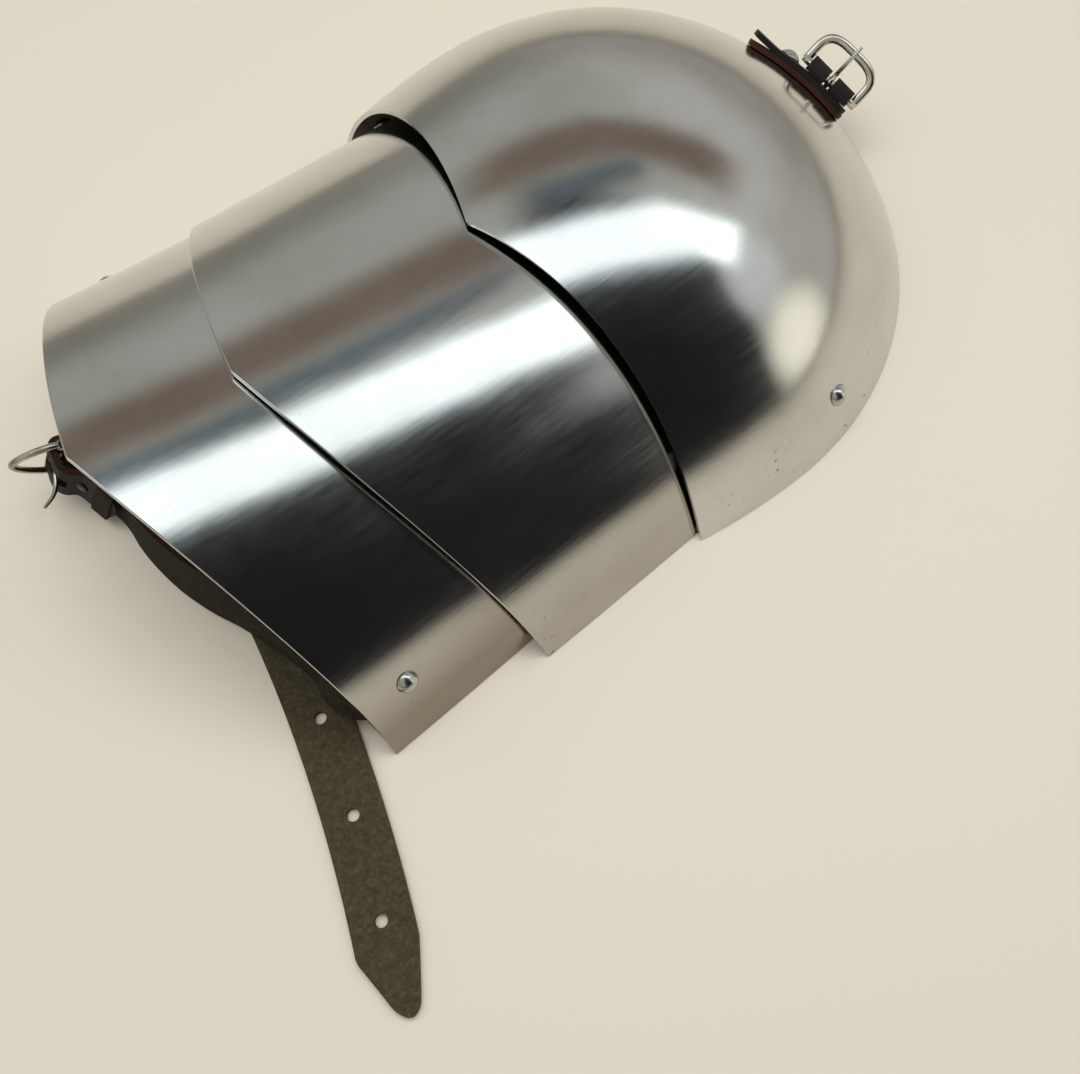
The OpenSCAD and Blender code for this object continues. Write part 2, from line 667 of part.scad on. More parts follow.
module neck_tab_rivet() {
  color([0.85, 0.85, 0.84]) in_neck() translate([0, 0, tab_r + 2 * tab_t])
    rivet(head_r, min(head_h, neck_head_max), tab_clear + 2 * tab_t + sheet + burr_seat + burr_t + peen);
}
module neck_tab_burr() { color([0.6, 0.6, 0.6]) in_neck() translate([0, 0, dome_r - sheet - burr_seat]) burr(); }
module neck_buckle_frame() {
  color([0.86, 0.84, 0.78]) in_neck_bar() buckle_frame(neck_inside, neck_depth, neck_bar_r, neck_band, neck_frame_t);
}
module neck_buckle_tongue() {
  color([0.86, 0.84, 0.78]) in_neck_bar() rotate([0, 0, -neck_tongue_turn])
    buckle_tongue(neck_tongue_len, neck_bar_r, neck_rod);
}

dome_plate();
middle_lame();
lower_lame();
upper_leather(front);  // front_upper_leather
upper_leather(back);  // back_upper_leather
lower_leather(front);  // front_lower_leather
lower_leather(back);  // back_lower_leather
dome_rivet(front);  // front_dome_rivet
dome_rivet(back);  // back_dome_rivet
dome_burr(front);  // front_dome_burr
dome_burr(back);  // back_dome_burr
middle_rivet(front);  // front_middle_rivet
middle_rivet(back);  // back_middle_rivet
middle_burr(front);  // front_middle_burr
middle_burr(back);  // back_middle_burr
lower_rivet(front);  // front_lower_rivet
lower_rivet(back);  // back_lower_rivet
lower_burr(front);  // front_lower_burr
lower_burr(back);  // back_lower_burr
strap_rivet(front);  // front_strap_rivet
strap_rivet(back);  // back_strap_rivet
strap_burr(front);  // front_strap_burr
strap_burr(back);  // back_strap_burr
billet_strap();
buckle_strap();
strap_keeper();
fold_rivet();
arm_buckle_frame();
arm_buckle_tongue();
neck_tab();
neck_tab_rivet();
neck_tab_burr();
neck_buckle_frame();
neck_buckle_tongue();
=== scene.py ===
# %% [markdown]
# # A spaulder on a table
# The piece is a shoulder defence: a domed plate, two curved lames below it, the leathers
# that join them, an arm strap with its buckle, and a short buckled tab at the neck.
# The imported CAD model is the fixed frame. Everything modelled here stands on its places.

# %% Load the frame
import json
from functools import partial
from math import acos, asin, atan2, cos, degrees, pi, radians, sin, sqrt

import bmesh
import bpy
from mathutils import Matrix, Vector, noise


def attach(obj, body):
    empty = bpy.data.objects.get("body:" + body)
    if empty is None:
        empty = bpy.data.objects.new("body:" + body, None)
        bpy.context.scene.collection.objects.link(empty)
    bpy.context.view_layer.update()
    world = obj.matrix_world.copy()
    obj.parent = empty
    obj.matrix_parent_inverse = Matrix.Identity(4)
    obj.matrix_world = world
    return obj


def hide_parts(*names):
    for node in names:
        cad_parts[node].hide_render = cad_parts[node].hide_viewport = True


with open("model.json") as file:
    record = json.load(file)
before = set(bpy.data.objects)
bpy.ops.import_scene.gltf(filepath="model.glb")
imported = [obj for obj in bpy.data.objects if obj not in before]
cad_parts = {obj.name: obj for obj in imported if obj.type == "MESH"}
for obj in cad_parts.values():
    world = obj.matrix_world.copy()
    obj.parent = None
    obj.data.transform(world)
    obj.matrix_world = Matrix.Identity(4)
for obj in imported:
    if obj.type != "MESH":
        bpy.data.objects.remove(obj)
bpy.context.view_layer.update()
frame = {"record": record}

# %% [markdown]
# ## The object's own sizes
# The construction has its dimensions in millimetres. They are written again here, once and
# in metres, so that every shell and strap can be worked out from the same few values.

# %% Sizes of the plates
MM = 0.001
SHEET = 1.5 * MM
DOME_R = 106 * MM
BULGE_X = 36 * MM
BARREL_R = 235 * MM
AXIS_DROP = 36.5 * MM
SCALLOP_R = 171.5 * MM
SCALLOP_Y = 63 * MM
DOME_CUSP = 8.8 * MM
DOME_CENTRE = Vector((BULGE_X, 0, -AXIS_DROP))


def barrel_radius(x):
    """Outer radius of the dome at x, on the arm side of its bulge."""
    return DOME_R - BARREL_R + sqrt(BARREL_R**2 - (x - BULGE_X) ** 2)


DOME_GAP = 0.35 * MM
LAME_GAP = 2.6 * MM
MID_R = barrel_radius(0) - SHEET - DOME_GAP
LOW_R = MID_R - SHEET - LAME_GAP
print("lame radii", round(MID_R / MM, 2), round(LOW_R / MM, 2), "mm")

# %% [markdown]
# A lame is a tube in a frame of its own, a little tilted against the dome. A 4×4 matrix
# holds each such frame, built from a shift and a turn, so a point worked out in the lame's
# own axes is carried to its place by one multiplication.

# %% Frames of the lames, the rivets and the buckles
FRONT = -1
BACK = 1
SIDES = (("front", FRONT), ("back", BACK))


def shift(x, y, z):
    return Matrix.Translation((x, y, z))


def turn(axis, angle):
    return Matrix.Rotation(radians(angle), 4, axis)


LOW_X = -117.6 * MM
LOW_DROP = 25.7 * MM
LOW_TILT = 9.4
MID = shift(-65.4 * MM, -1.0 * MM, -33.7 * MM) @ turn("Y", 5.9)
LOW = shift(LOW_X, 1.6 * MM, -LOW_DROP) @ turn("Y", LOW_TILT)
DOME_RIVET_UP = 29.6
DOME_RIVET_TURN = 12


def on_lame(lame, x, up, side, r):
    """A frame on a lame's tube, with +Z outwards: x along it, up in degrees, r from its axis."""
    return lame @ shift(x, 0, 0) @ turn("X", -side * (90 - up)) @ shift(0, 0, r)


def on_dome(side, r):
    """The same at the dome's rivets."""
    return (shift(*DOME_CENTRE) @ turn("X", -side * (90 - DOME_RIVET_UP))
            @ turn("Y", DOME_RIVET_TURN) @ shift(0, 0, r))


NECK = shift(*DOME_CENTRE) @ turn("Z", 4) @ turn("Y", 52) @ turn("Z", -66.6)
TAB_R = DOME_R + 0.3 * MM
TAB_T = 1.8 * MM
NECK_BAR_R = 1.3 * MM
NECK_LOOP_R = NECK_BAR_R + 1.78 * MM
NECK_BAR_TURN = degrees(asin(14.2 * MM / DOME_R))
NECK_BAR = (NECK @ turn("Y", NECK_BAR_TURN)
            @ shift(0, 0, TAB_R + 2 * TAB_T + NECK_LOOP_R - 1 * MM) @ turn("Y", -90))
ARM_LEAN = 14.2
ARM_BAR = (shift(-139.4 * MM, 41.5 * MM, 20 * MM) @ turn("Z", 104.5) @ turn("Y", -23.6)
           @ turn("X", ARM_LEAN))
print("arm buckle's bar at", [round(v / MM, 1) for v in ARM_BAR.translation], "mm")

# %% [markdown]
# ## Helpers
# Every piece ends as one object at the origin with its place in its mesh. The helpers here
# turn a bmesh into such an object, bake modifiers into it, and tie it to its CAD node and
# body, so that each later cell is only about a shape.

# %% Helpers that finish a piece
def face_out(bm):
    """Turns all faces of a shape the same way, outwards where it is closed."""
    bmesh.ops.recalc_face_normals(bm, faces=bm.faces)


def to_object(name, bm, place=None):
    """Writes a bmesh to a new object at the origin, first moved into a frame if one is given."""
    if place is not None:
        bmesh.ops.transform(bm, matrix=place, verts=bm.verts)
    mesh = bpy.data.meshes.new(name)
    bm.to_mesh(mesh)
    bm.free()
    mesh.shade_smooth()
    obj = bpy.data.objects.new(name, mesh)
    bpy.context.scene.collection.objects.link(obj)
    return obj


def bake(obj):
    """Applies an object's modifiers to its mesh."""
    view = bpy.context.evaluated_depsgraph_get()
    view.update()
    mesh = bpy.data.meshes.new_from_object(obj.evaluated_get(view))
    obj.modifiers.clear()
    obj.data = mesh
    return obj


def thicken(obj, thickness, offset):
    """Gives a sheet its wall: offset -1 puts it behind the faces, 0 to both sides."""
    wall = obj.modifiers.new("wall", "SOLIDIFY")
    wall.thickness = thickness
    wall.offset = offset
    wall.use_even_offset = True
    return bake(obj)


def round_edges(obj, width):
    """Rounds the edges that are sharper than 50 degrees."""
    soft = obj.modifiers.new("soft edge", "BEVEL")
    soft.width = width
    soft.segments = 2
    soft.limit_method = "ANGLE"
    soft.angle_limit = radians(50)
    soft.use_clamp_overlap = True
    soft.harden_normals = True
    bake(obj)
    obj.data.shade_smooth()


def cut(obj, cutters):
    """Cuts the cutters' shapes out of an object and removes them."""
    for cutter in cutters:
        hole = obj.modifiers.new("hole", "BOOLEAN")
        hole.operation = "DIFFERENCE"
        hole.solver = "EXACT"
        hole.object = cutter
    bake(obj)
    for cutter in cutters:
        bpy.data.objects.remove(cutter, do_unlink=True)


BODIES = frame["record"]["behaviour"]["bodies"]
BODY_OF = {node: body for body, nodes in BODIES.items() for node in nodes}


def stand_for(obj, node, material):
    """The piece takes a CAD node's place, rides on its body and gets its finish."""
    obj.data.materials.clear()
    obj.data.materials.append(material)
    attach(obj, BODY_OF[node])
    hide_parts(node)
    print(f"{obj.name}: {len(obj.data.polygons)} faces, for {node} on {BODY_OF[node]}")


# %% [markdown]
# ## Finishes
# A metal's look is mostly what it mirrors. The colour stays near a neutral grey, and the
# detail goes into roughness and bump: hand polishing leaves fine lines along the sheet,
# cloudy patches where the wheel dwelt, and a few small pits near the rims.

# %% Node helpers
def feed(tree, socket, value):
    """Links another node's output to a socket, or sets it to a number, vector or colour."""
    if isinstance(value, bpy.types.NodeSocket):
        tree.links.new(value, socket)
    elif socket.type == "RGBA":
        socket.default_value = (*value, 1)
    else:
        socket.default_value = value


def fill(tree, node, **inputs):
    """Feeds a node's inputs by name: Base_Color stands for "Base Color"."""
    for name, value in inputs.items():
        feed(tree, node.inputs[name.replace("_", " ")], value)
    return node


def add(tree, kind, **inputs):
    return fill(tree, tree.nodes.new("ShaderNode" + kind), **inputs)


def new_material(name):
    """An empty node material: its node tree, its shader and object coordinates."""
    material = bpy.data.materials.new(name)
    material.use_nodes = True
    tree = material.node_tree
    tree.nodes.clear()
    shader = add(tree, "BsdfPrincipled")
    add(tree, "OutputMaterial", Surface=shader.outputs["BSDF"])
    print("material", name)
    return material, tree, shader, add(tree, "TexCoord").outputs["Object"]


# %% [markdown]
# Each helper below adds one kind of node and gives back its output, so that a material
# reads like a formula.

# %% One helper for each kind of node
def mapped(tree, coords, scale):
    return add(tree, "Mapping", Vector=coords, Scale=scale).outputs["Vector"]


def noise_at(tree, vector, scale, detail=3, rough=0.5):
    node = add(tree, "TexNoise", Vector=vector, Scale=scale, Detail=detail, Roughness=rough)
    return node.outputs["Fac"]


def ramp(tree, value, stops):
    """A colour ramp: stops are (place, grey) or (place, (r, g, b))."""
    node = add(tree, "ValToRGB", Fac=value)
    band = node.color_ramp
    while len(band.elements) < len(stops):
        band.elements.new(0.5)
    for element, (place, colour) in zip(band.elements, stops):
        element.position = place
        rgb = (colour, colour, colour) if isinstance(colour, (int, float)) else colour
        element.color = (*rgb, 1)
    return node.outputs["Color"]


def maths(tree, operation, *values):
    node = tree.nodes.new("ShaderNodeMath")
    node.operation = operation
    for socket, value in zip(node.inputs, values):
        feed(tree, socket, value)
    return node.outputs[0]


def times(tree, a, b):
    return maths(tree, "MULTIPLY", a, b)


def mixed(tree, factor, a, b):
    """Mixes two colours by a factor between 0 and 1."""
    node = tree.nodes.new("ShaderNodeMix")
    node.data_type = "RGBA"
    return fill(tree, node, Factor=factor, A=a, B=b).outputs["Result"]


def bump(tree, height, distance, strength, **under):
    node = add(tree, "Bump", Height=height, Distance=distance, Strength=strength, **under)
    return node.outputs["Normal"]


# %% [markdown]
# The plates are polished along their length. Noise drawn out along X gives the belt's fine
# lines, coarse noise the clouds, and a sharp ramp over fine noise the pits. One function
# makes all three steels: the lames differ only in a brownish painted shade low on the front rim.

# %% Steel of the plates
PIT_TONE = 0.7
# Brownish painted shade: it darkens the steel's reflection low on the lames' front rim.
PAINTED_RIM_SHADE = (0.28, 0.24, 0.20)
RUST = (0.20, 0.155, 0.11)


def plate_steel(name, colour, rough, rim_shade_share=0.0):
    """Polished sheet with lines, clouds, pits, rust specks and, by its share, painted shade on the
    front rim.
    """
    material, tree, shader, coords = new_material(name)
    along = mapped(tree, coords, (18, 900, 900))
    lines = noise_at(tree, along, 1.0, 4, 0.6)
    clouds = noise_at(tree, coords, 22, 4, 0.55)
    spots = noise_at(tree, coords, 620, 2, 0.5)
    pits = ramp(tree, spots, [(0.20, 0.0), (0.27, 1.0)])
    split = add(tree, "SeparateXYZ", Vector=coords)
    height = times(tree, split.outputs["Z"], 25)
    low_down = ramp(tree, height, [(0.25, 1.0), (0.75, 0.0)])
    frontness = times(tree, split.outputs["Y"], -12)
    at_front = ramp(tree, frontness, [(0.3, 0.0), (0.7, 1.0)])
    near_rim = times(tree, low_down, at_front)
    specks = ramp(tree, noise_at(tree, coords, 420, 4, 0.75), [(0.33, 0.8), (0.38, 0.0)])
    groups = ramp(tree, noise_at(tree, coords, 60, 2, 0.5), [(0.42, 0.0), (0.60, 1.0)])
    rust = times(tree, times(tree, specks, groups), near_rim)
    stain = noise_at(tree, mapped(tree, coords, (1, 1, 1.6)), 34, 5, 0.6)
    tone = ramp(tree, stain, [(0.30, colour[0]), (0.55, colour[1]), (0.75, colour[2])])
    pits_and_rim_shade = mixed(tree, pits, tuple(PIT_TONE * c for c in colour[0]), tone)
    # Painted shade low on the front rim, laid over the real pits.
    pits_and_rim_shade = mixed(tree, times(tree, near_rim, rim_shade_share), pits_and_rim_shade, PAINTED_RIM_SHADE)
    dull = maths(tree, "MULTIPLY_ADD", clouds, 0.08, rough - 0.09)
    scratch = maths(tree, "MULTIPLY_ADD", lines, 0.10, dull)
    fine = bump(tree, lines, 0.000012, 0.5)
    fill(tree, shader, Base_Color=mixed(tree, rust, pits_and_rim_shade, RUST), Metallic=1.0, Roughness=scratch,
         Normal=bump(tree, pits, 0.00001, 0.3, Normal=fine))
    return material


STEEL = ((0.57, 0.565, 0.53), (0.63, 0.625, 0.60), (0.67, 0.665, 0.645))
dome_steel = plate_steel("dome steel", STEEL, 0.15)
middle_steel = plate_steel("middle lame steel", STEEL, 0.14, 0.45)
lower_steel = plate_steel("lower lame steel", STEEL, 0.14, 0.9)


# %% [markdown]
# Rivets and buckles are small and bright all round, so they need only one tone, darker in
# random clouds, and a bump for the hammer's tiny dents. The fold's rivet is blackened.

# %% Steel of the rivets, brightness of the buckles
def small_metal(name, colour, rough, dirt, bump_size=4e-5):
    """A small bright piece: darker in random clouds, with tiny dents from the hammer."""
    material, tree, shader, coords = new_material(name)
    dents = noise_at(tree, coords, 420)
    clouds = noise_at(tree, coords, 150)
    fill(tree, shader, Base_Color=ramp(tree, clouds, [(0.35, dirt), (0.6, colour)]), Metallic=1.0,
         Roughness=maths(tree, "MULTIPLY_ADD", clouds, -0.12, rough + 0.08),
         Normal=bump(tree, dents, bump_size, 0.6))
    return material


rivet_steel = small_metal("rivet steel", (0.62, 0.62, 0.60), 0.22, (0.42, 0.41, 0.38))
burr_steel = small_metal("burr steel", (0.42, 0.42, 0.41), 0.38, (0.28, 0.27, 0.25))
arm_buckle_metal = small_metal("arm buckle metal", (0.62, 0.60, 0.53), 0.2, (0.34, 0.31, 0.25), 2e-5)
dark_steel = small_metal("blackened steel", (0.11, 0.10, 0.09), 0.35, (0.06, 0.055, 0.05))
neck_buckle_metal = small_metal("neck buckle metal", (0.80, 0.75, 0.66), 0.22, (0.62, 0.56, 0.46), 2e-5)

# %% [markdown]
# Leather has two faces. The grain side is smooth, dark and creased; the flesh side is a
# fine olive-brown nap. The cut edges between them show the red-brown core. All of it is
# one material: the strap's own UV map says which face a point is on, and how raw the cut
# edges are.

# %% Leather
def strap_leather(name, grain, flesh, core):
    """Leather that reads the piece's UV map: U 0 dyed edges, 1 raw ones; V 0.9 flesh side."""
    material, tree, shader, coords = new_material(name)
    uv = add(tree, "UVMap")
    uv.uv_map = "strap"
    split = add(tree, "SeparateXYZ", Vector=uv.outputs["UV"])
    flesh_side = ramp(tree, split.outputs["Y"], [(0.70, 0.0), (0.80, 1.0)])
    cut_side = times(tree, ramp(tree, split.outputs["Y"], [(0.2, 0.0), (0.28, 1.0)]),
                     ramp(tree, split.outputs["Y"], [(0.62, 1.0), (0.70, 0.0)]))
    fibre = noise_at(tree, coords, 900, 3, 0.6)
    speck = noise_at(tree, coords, 380, 2)
    cloud = noise_at(tree, coords, 45)
    cells = add(tree, "TexVoronoi", Vector=coords, Scale=750)
    nap = maths(tree, "MULTIPLY_ADD", fibre, 0.6, times(tree, speck, 0.42))
    flesh_tone = ramp(tree, nap, [(0.25, flesh[0]), (0.5, flesh[1]), (0.72, flesh[2])])
    grain_tone = ramp(tree, cloud, [(0.3, grain[0]), (0.7, grain[1])])
    rawness = maths(tree, "ADD", times(tree, fibre, 0.5), times(tree, split.outputs["X"], 0.5))
    core_tone = ramp(tree, rawness, [(0.30, core[0]), (0.68, core[1])])
    face = mixed(tree, flesh_side, grain_tone, flesh_tone)
    crease = bump(tree, cells.outputs["Distance"], 0.00008, 0.35)
    fill(tree, shader, Base_Color=mixed(tree, cut_side, face, core_tone), Specular_IOR_Level=0.22,
         Roughness=maths(tree, "MULTIPLY_ADD", flesh_side, 0.28, 0.60),
         Normal=bump(tree, fibre, 0.00016, 0.5, Normal=crease))
    return material


billet_leather = strap_leather(
    "billet leather", ((0.016, 0.013, 0.011), (0.028, 0.022, 0.017)),
    ((0.034, 0.027, 0.014), (0.062, 0.050, 0.029), (0.100, 0.084, 0.052)),
    ((0.030, 0.017, 0.010), (0.085, 0.046, 0.026)))
buckle_leather = strap_leather(
    "buckle strap leather", ((0.005, 0.0045, 0.004), (0.011, 0.009, 0.008)),
    ((0.012, 0.009, 0.006), (0.024, 0.018, 0.012), (0.044, 0.032, 0.021)),
    ((0.009, 0.006, 0.004), (0.050, 0.022, 0.011)))
tab_leather = strap_leather(
    "tab leather", ((0.010, 0.009, 0.008), (0.024, 0.021, 0.019)),
    ((0.018, 0.011, 0.008), (0.030, 0.017, 0.011), (0.050, 0.026, 0.016)),
    ((0.009, 0.008, 0.007), (0.038, 0.012, 0.005)))
inner_leather = strap_leather(
    "articulation leather", ((0.075, 0.040, 0.024), (0.115, 0.062, 0.038)),
    ((0.100, 0.065, 0.040), (0.150, 0.100, 0.062), (0.200, 0.140, 0.090)),
    ((0.080, 0.042, 0.024), (0.130, 0.072, 0.042)))

# %% [markdown]
# ## The plates
# A plate could be spun and then trimmed, but a trimmed edge leaves slivers that show in a
# mirror finish. Instead a plain grid is laid so that its own border is the plate's border:
# two sides follow the lower edge and the neck, and two the rims on the table. Each vertex
# then moves a few hundredths of a millimetre, as planishing leaves the sheet.

# %% The plates' shared making
LONG_WAVE = 26 * MM
SHORT_WAVE = 9 * MM
WAVE_DEPTH = 0.055 * MM
RIM_TO_RIM = 190


def beaten(point, normal, seed):
    """The point moved by the shallow waves of a hand-planished sheet."""
    at = point / LONG_WAVE + Vector((seed, seed * 0.7, seed * 1.3))
    small = point / SHORT_WAVE + Vector((seed * 2.1, 0, seed))
    return point + normal * (WAVE_DEPTH * noise.noise(at) + 0.22 * WAVE_DEPTH * noise.noise(small))


def plate(name, columns, place, seed):
    """A plate from a grid: place(u, v) gives a point and its outward normal."""
    bm = bmesh.new()
    bmesh.ops.create_grid(bm, x_segments=columns, y_segments=RIM_TO_RIM, size=0.5)
    for vert in bm.verts:
        point, normal = place(vert.co.x + 0.5, vert.co.y + 0.5)
        vert.co = beaten(point, normal, seed)
    face_out(bm)
    if sum(f.normal.z for f in bm.faces) < 0:
        bmesh.ops.reverse_faces(bm, faces=bm.faces)
    obj = thicken(to_object(name, bm), SHEET, -1)
    for vert in obj.data.vertices:
        vert.co.z = max(vert.co.z, 0.0)
    round_edges(obj, 0.4 * MM)
    return obj


# %% [markdown]
# The dome is a barrel towards the arm and a ball towards the neck. Its lower edge has two
# scallops with a point between them, so each line of the grid starts on that edge and runs
# over the barrel and the ball to the neck.

# %% The dome
SPHERE_ARC = DOME_R * (pi / 2 - asin(AXIS_DROP / DOME_R))


def dome_edge(y):
    """X of the dome's lower edge at y: two scallops that leave a point between them."""
    centre_x = -DOME_CUSP - sqrt(SCALLOP_R**2 - SCALLOP_Y**2)
    return centre_x + sqrt(SCALLOP_R**2 - (abs(y) - SCALLOP_Y) ** 2)


def dome_place(u, v):
    """u runs from the lower edge to the neck, v from the front rim to the back rim."""
    start = dome_edge(-cos(pi * v) * DOME_R * 0.95)
    for _ in range(4):
        r = barrel_radius(start)
        low = asin(AXIS_DROP / r)
        up = low + (pi - 2 * low) * v
        start = dome_edge(-r * cos(up))
    gone = u * ((BULGE_X - start) + SPHERE_ARC)
    if gone < BULGE_X - start:
        x = start + gone
        r = barrel_radius(x)
        slope = (x - BULGE_X) / (r - DOME_R + BARREL_R)
    else:
        polar = pi / 2 - (gone - (BULGE_X - start)) / DOME_R
        x = BULGE_X + DOME_R * cos(polar)
        r = DOME_R * sin(polar)
        slope = (x - BULGE_X) / max(r, 1e-6)
    low = asin(min(1.0, AXIS_DROP / r))
    up = low + (pi - 2 * low) * v
    normal = Vector((slope, -cos(up), sin(up))).normalized()
    return Vector((x, -r * cos(up), -AXIS_DROP + r * sin(up))), normal


stand_for(plate("dome_shell", 150, dome_place, 3.0), "dome_plate", dome_steel)

# %% [markdown]
# A lame is part of a tube. Its neck edge is square and hidden under the plate above; its arm
# edge is two arcs that meet in a point. Its rims lie where the tube meets the table. One
# function serves both lames, with each one's own frame, radius and arcs.

# %% The two lames
def lame_place(lame, r, length, cusp, edge_r, edge_y):
    """Returns place(u, v) for a lame: u from its arm edge to its neck edge, v from rim to rim."""
    pos = lame.translation
    tilt = -asin(lame.col[0].z)
    edge_x = -cusp + sqrt(edge_r**2 - edge_y**2)

    def rim(x):
        return asin((x * sin(tilt) - pos.z) / (r * cos(tilt)))

    def place(u, v):
        start = 0.0
        for _ in range(6):
            low = rim(start)
            up = low + (pi - 2 * low) * v
            y = -r * cos(up)
            start = edge_x - sqrt(edge_r**2 - (abs(y) + edge_y) ** 2)
        x = start + u * (length - start)
        low = rim(x)
        up = low + (pi - 2 * low) * v
        normal = lame.to_3x3() @ Vector((0, -cos(up), sin(up)))
        return lame @ Vector((x, -r * cos(up), r * sin(up))), normal

    return place


middle_place = lame_place(MID, MID_R, length=88 * MM, cusp=31 * MM, edge_r=324 * MM, edge_y=60 * MM)
lower_place = lame_place(LOW, LOW_R, length=72 * MM, cusp=30.7 * MM, edge_r=470 * MM,
                         edge_y=108.6 * MM)
stand_for(plate("middle_shell", 90, middle_place, 7.0), "middle_lame", middle_steel)
stand_for(plate("lower_shell", 80, lower_place, 11.0), "lower_lame", lower_steel)

# %% [markdown]
# ## Rivets and burrs
# A rivet head is hammered over a former, so it is a low dome with a faint flat on top and
# never quite round. A profile of a few points is spun about Z, and a little noise makes
# each head its own. Under the leather the shank is peened over a washer, the burr.

# %% Rivets and burrs
HEAD_R = 3.5


def spun(profile, place, steps=40):
    """Spins (radius, height) points about a frame's Z and closes the doubles."""
    bm = bmesh.new()
    verts = [bm.verts.new((r * MM, 0, z * MM)) for r, z in profile]
    edges = [bm.edges.new(pair) for pair in zip(verts, verts[1:])]
    bmesh.ops.spin(bm, geom=verts + edges, cent=(0, 0, 0), axis=(0, 0, 1), angle=2 * pi, steps=steps,
                   use_merge=True)
    bmesh.ops.remove_doubles(bm, verts=bm.verts, dist=0.002 * MM)
    face_out(bm)
    bmesh.ops.transform(bm, matrix=place, verts=bm.verts)
    return bm


def rivet(name, place, height, depth, seed):
    """Head above the frame's origin, shank and peened end below it. Sizes in millimetres."""
    ball = (HEAD_R**2 + height**2) / (2 * height)
    limit = asin(min(1.0, HEAD_R / ball))
    arc = [limit * k / 9 for k in range(10)]
    head = [(ball * sin(a), height - ball + ball * cos(a)) for a in arc]
    shank = [(HEAD_R - 0.1, -0.04), (1.88, -0.04), (1.88, -depth + 0.8)]
    peen = [(2.35, -depth + 0.75), (2.5, -depth + 0.45), (2.0, -depth + 0.12), (0.9, -depth),
            (0, -depth)]
    bm = spun(head + shank + peen, place)
    middle = place.translation
    for vert in bm.verts:
        wave = noise.noise((vert.co - middle) / (2.2 * MM) + Vector((seed, 0, seed * 0.37)))
        vert.co += (vert.co - middle) * 0.035 * wave
    return to_object(name, bm)


def burr(name, place, seed):
    """A washer from the frame's origin inwards, its rim rubbed round."""
    profile = [(1.95, 0), (3.85, 0), (4.0, -0.2), (3.95, -0.8), (3.75, -1), (2.1, -1),
               (1.95, -0.85), (1.95, 0)]
    return to_object(name, spun(profile, place @ turn("Z", seed * 40)))


# %% [markdown]
# Rivet and burr share one axis, so a seat is a function that gives the frame on that axis for
# a side and a radius. The heads under the next plate are flatter than those that show.

# %% The seats
LOW_LEATHER_R = MID_R - SHEET - 1.45 * MM
UP_LEATHER_R = LOW_LEATHER_R - 2.9 * MM
MID_BURR_R = UP_LEATHER_R - 1.65 * MM
LOW_PIVOT_R = LOW_R - SHEET - 2.35 * MM
LOW_BURR_R = LOW_PIVOT_R - 1.65 * MM
DOME_LEATHER_R = DOME_R - SHEET - 1.6 * MM
DOME_BURR_R = DOME_LEATHER_R - 1.0 * MM
BURR_SEAT = 0.2 * MM
PAD_R = LOW_R - SHEET - 1.75 * MM
MID_PIVOT_X = 67.3 * MM
LOW_PIVOT_X = 60.6 * MM
STRAP_RIVET_X = 13.4 * MM
PIVOT_UP = 38
STRAP_RIVET_UP = 30
on_middle = partial(on_lame, MID, MID_PIVOT_X, PIVOT_UP)
on_lower = partial(on_lame, LOW, LOW_PIVOT_X, PIVOT_UP)
at_strap = partial(on_lame, LOW, STRAP_RIVET_X, STRAP_RIVET_UP)
SEATS = {"dome": (on_dome, DOME_R, DOME_BURR_R, 2.4),
         "middle": (on_middle, MID_R, MID_BURR_R, 1.8),
         "lower": (on_lower, LOW_R, LOW_BURR_R, 0.9),
         "strap": (at_strap, LOW_R, PAD_R - 1.2 * MM - BURR_SEAT, 2.4)}
PEEN_LEN = 1.5
for word, side in SIDES:
    for seed, (seat, (place, outer, inner, height)) in enumerate(SEATS.items()):
        node = f"{word}_{seat}_rivet"
        depth = (outer - inner) / MM + PEEN_LEN
        head = rivet(node + "_head", place(side, outer), height, depth, seed * 2.3 + side)
        stand_for(head, node, rivet_steel)
        node = f"{word}_{seat}_burr"
        stand_for(burr(node + "_ring", place(side, inner), seed + side), node, burr_steel)

# %% [markdown]
# ## Leather strips
# Every strap here is one flat strip bent through space. A grid is laid along stations, each
# with a middle, a direction across and a normal, then given its thickness, its holes and
# rounded edges. The UV map is written at the end from the face normals, so that the
# material knows grain side, flesh side and cut edge.

# %% Strips
def strip(name, stations, thickness, columns=10):
    """A strap through stations of (middle, across, normal, half width)."""
    bm = bmesh.new()
    last = len(stations) - 1
    bmesh.ops.create_grid(bm, x_segments=last, y_segments=columns, size=0.5)
    for vert in bm.verts:
        middle, across, normal, half = stations[round((vert.co.x + 0.5) * last)]
        vert.co = middle + across * (2 * half * vert.co.y)
    face_out(bm)
    middle, across, normal, half = stations[last // 2]
    nearest = min(bm.faces, key=lambda f: (f.calc_center_median() - middle).length)
    if nearest.normal.dot(normal) < 0:
        bmesh.ops.reverse_faces(bm, faces=bm.faces)
    return thicken(to_object(name, bm), thickness, 0)


def dress_strip(obj, stations, flesh, width=0.45 * MM, raw=0.5):
    """Rounds a strip's edges and writes its UV map. flesh is +1 where the normal side is suede."""
    round_edges(obj, width)
    mesh = obj.data
    layer = mesh.uv_layers.new(name="strap")
    middles = [s[0] for s in stations]
    for face in mesh.polygons:
        centre = face.center
        index = min(range(len(middles)), key=lambda i: (middles[i] - centre).length_squared)
        lean = face.normal.dot(stations[index][2]) * flesh
        side = 0.9 if lean > 0.6 else 0.1 if lean < -0.6 else 0.45
        for loop in face.loop_indices:
            layer.data[loop].uv = (raw, side)
    return obj


def unit(v):
    return v.normalized()


def flat_to(v, n):
    return (v - n * v.dot(n)).normalized()


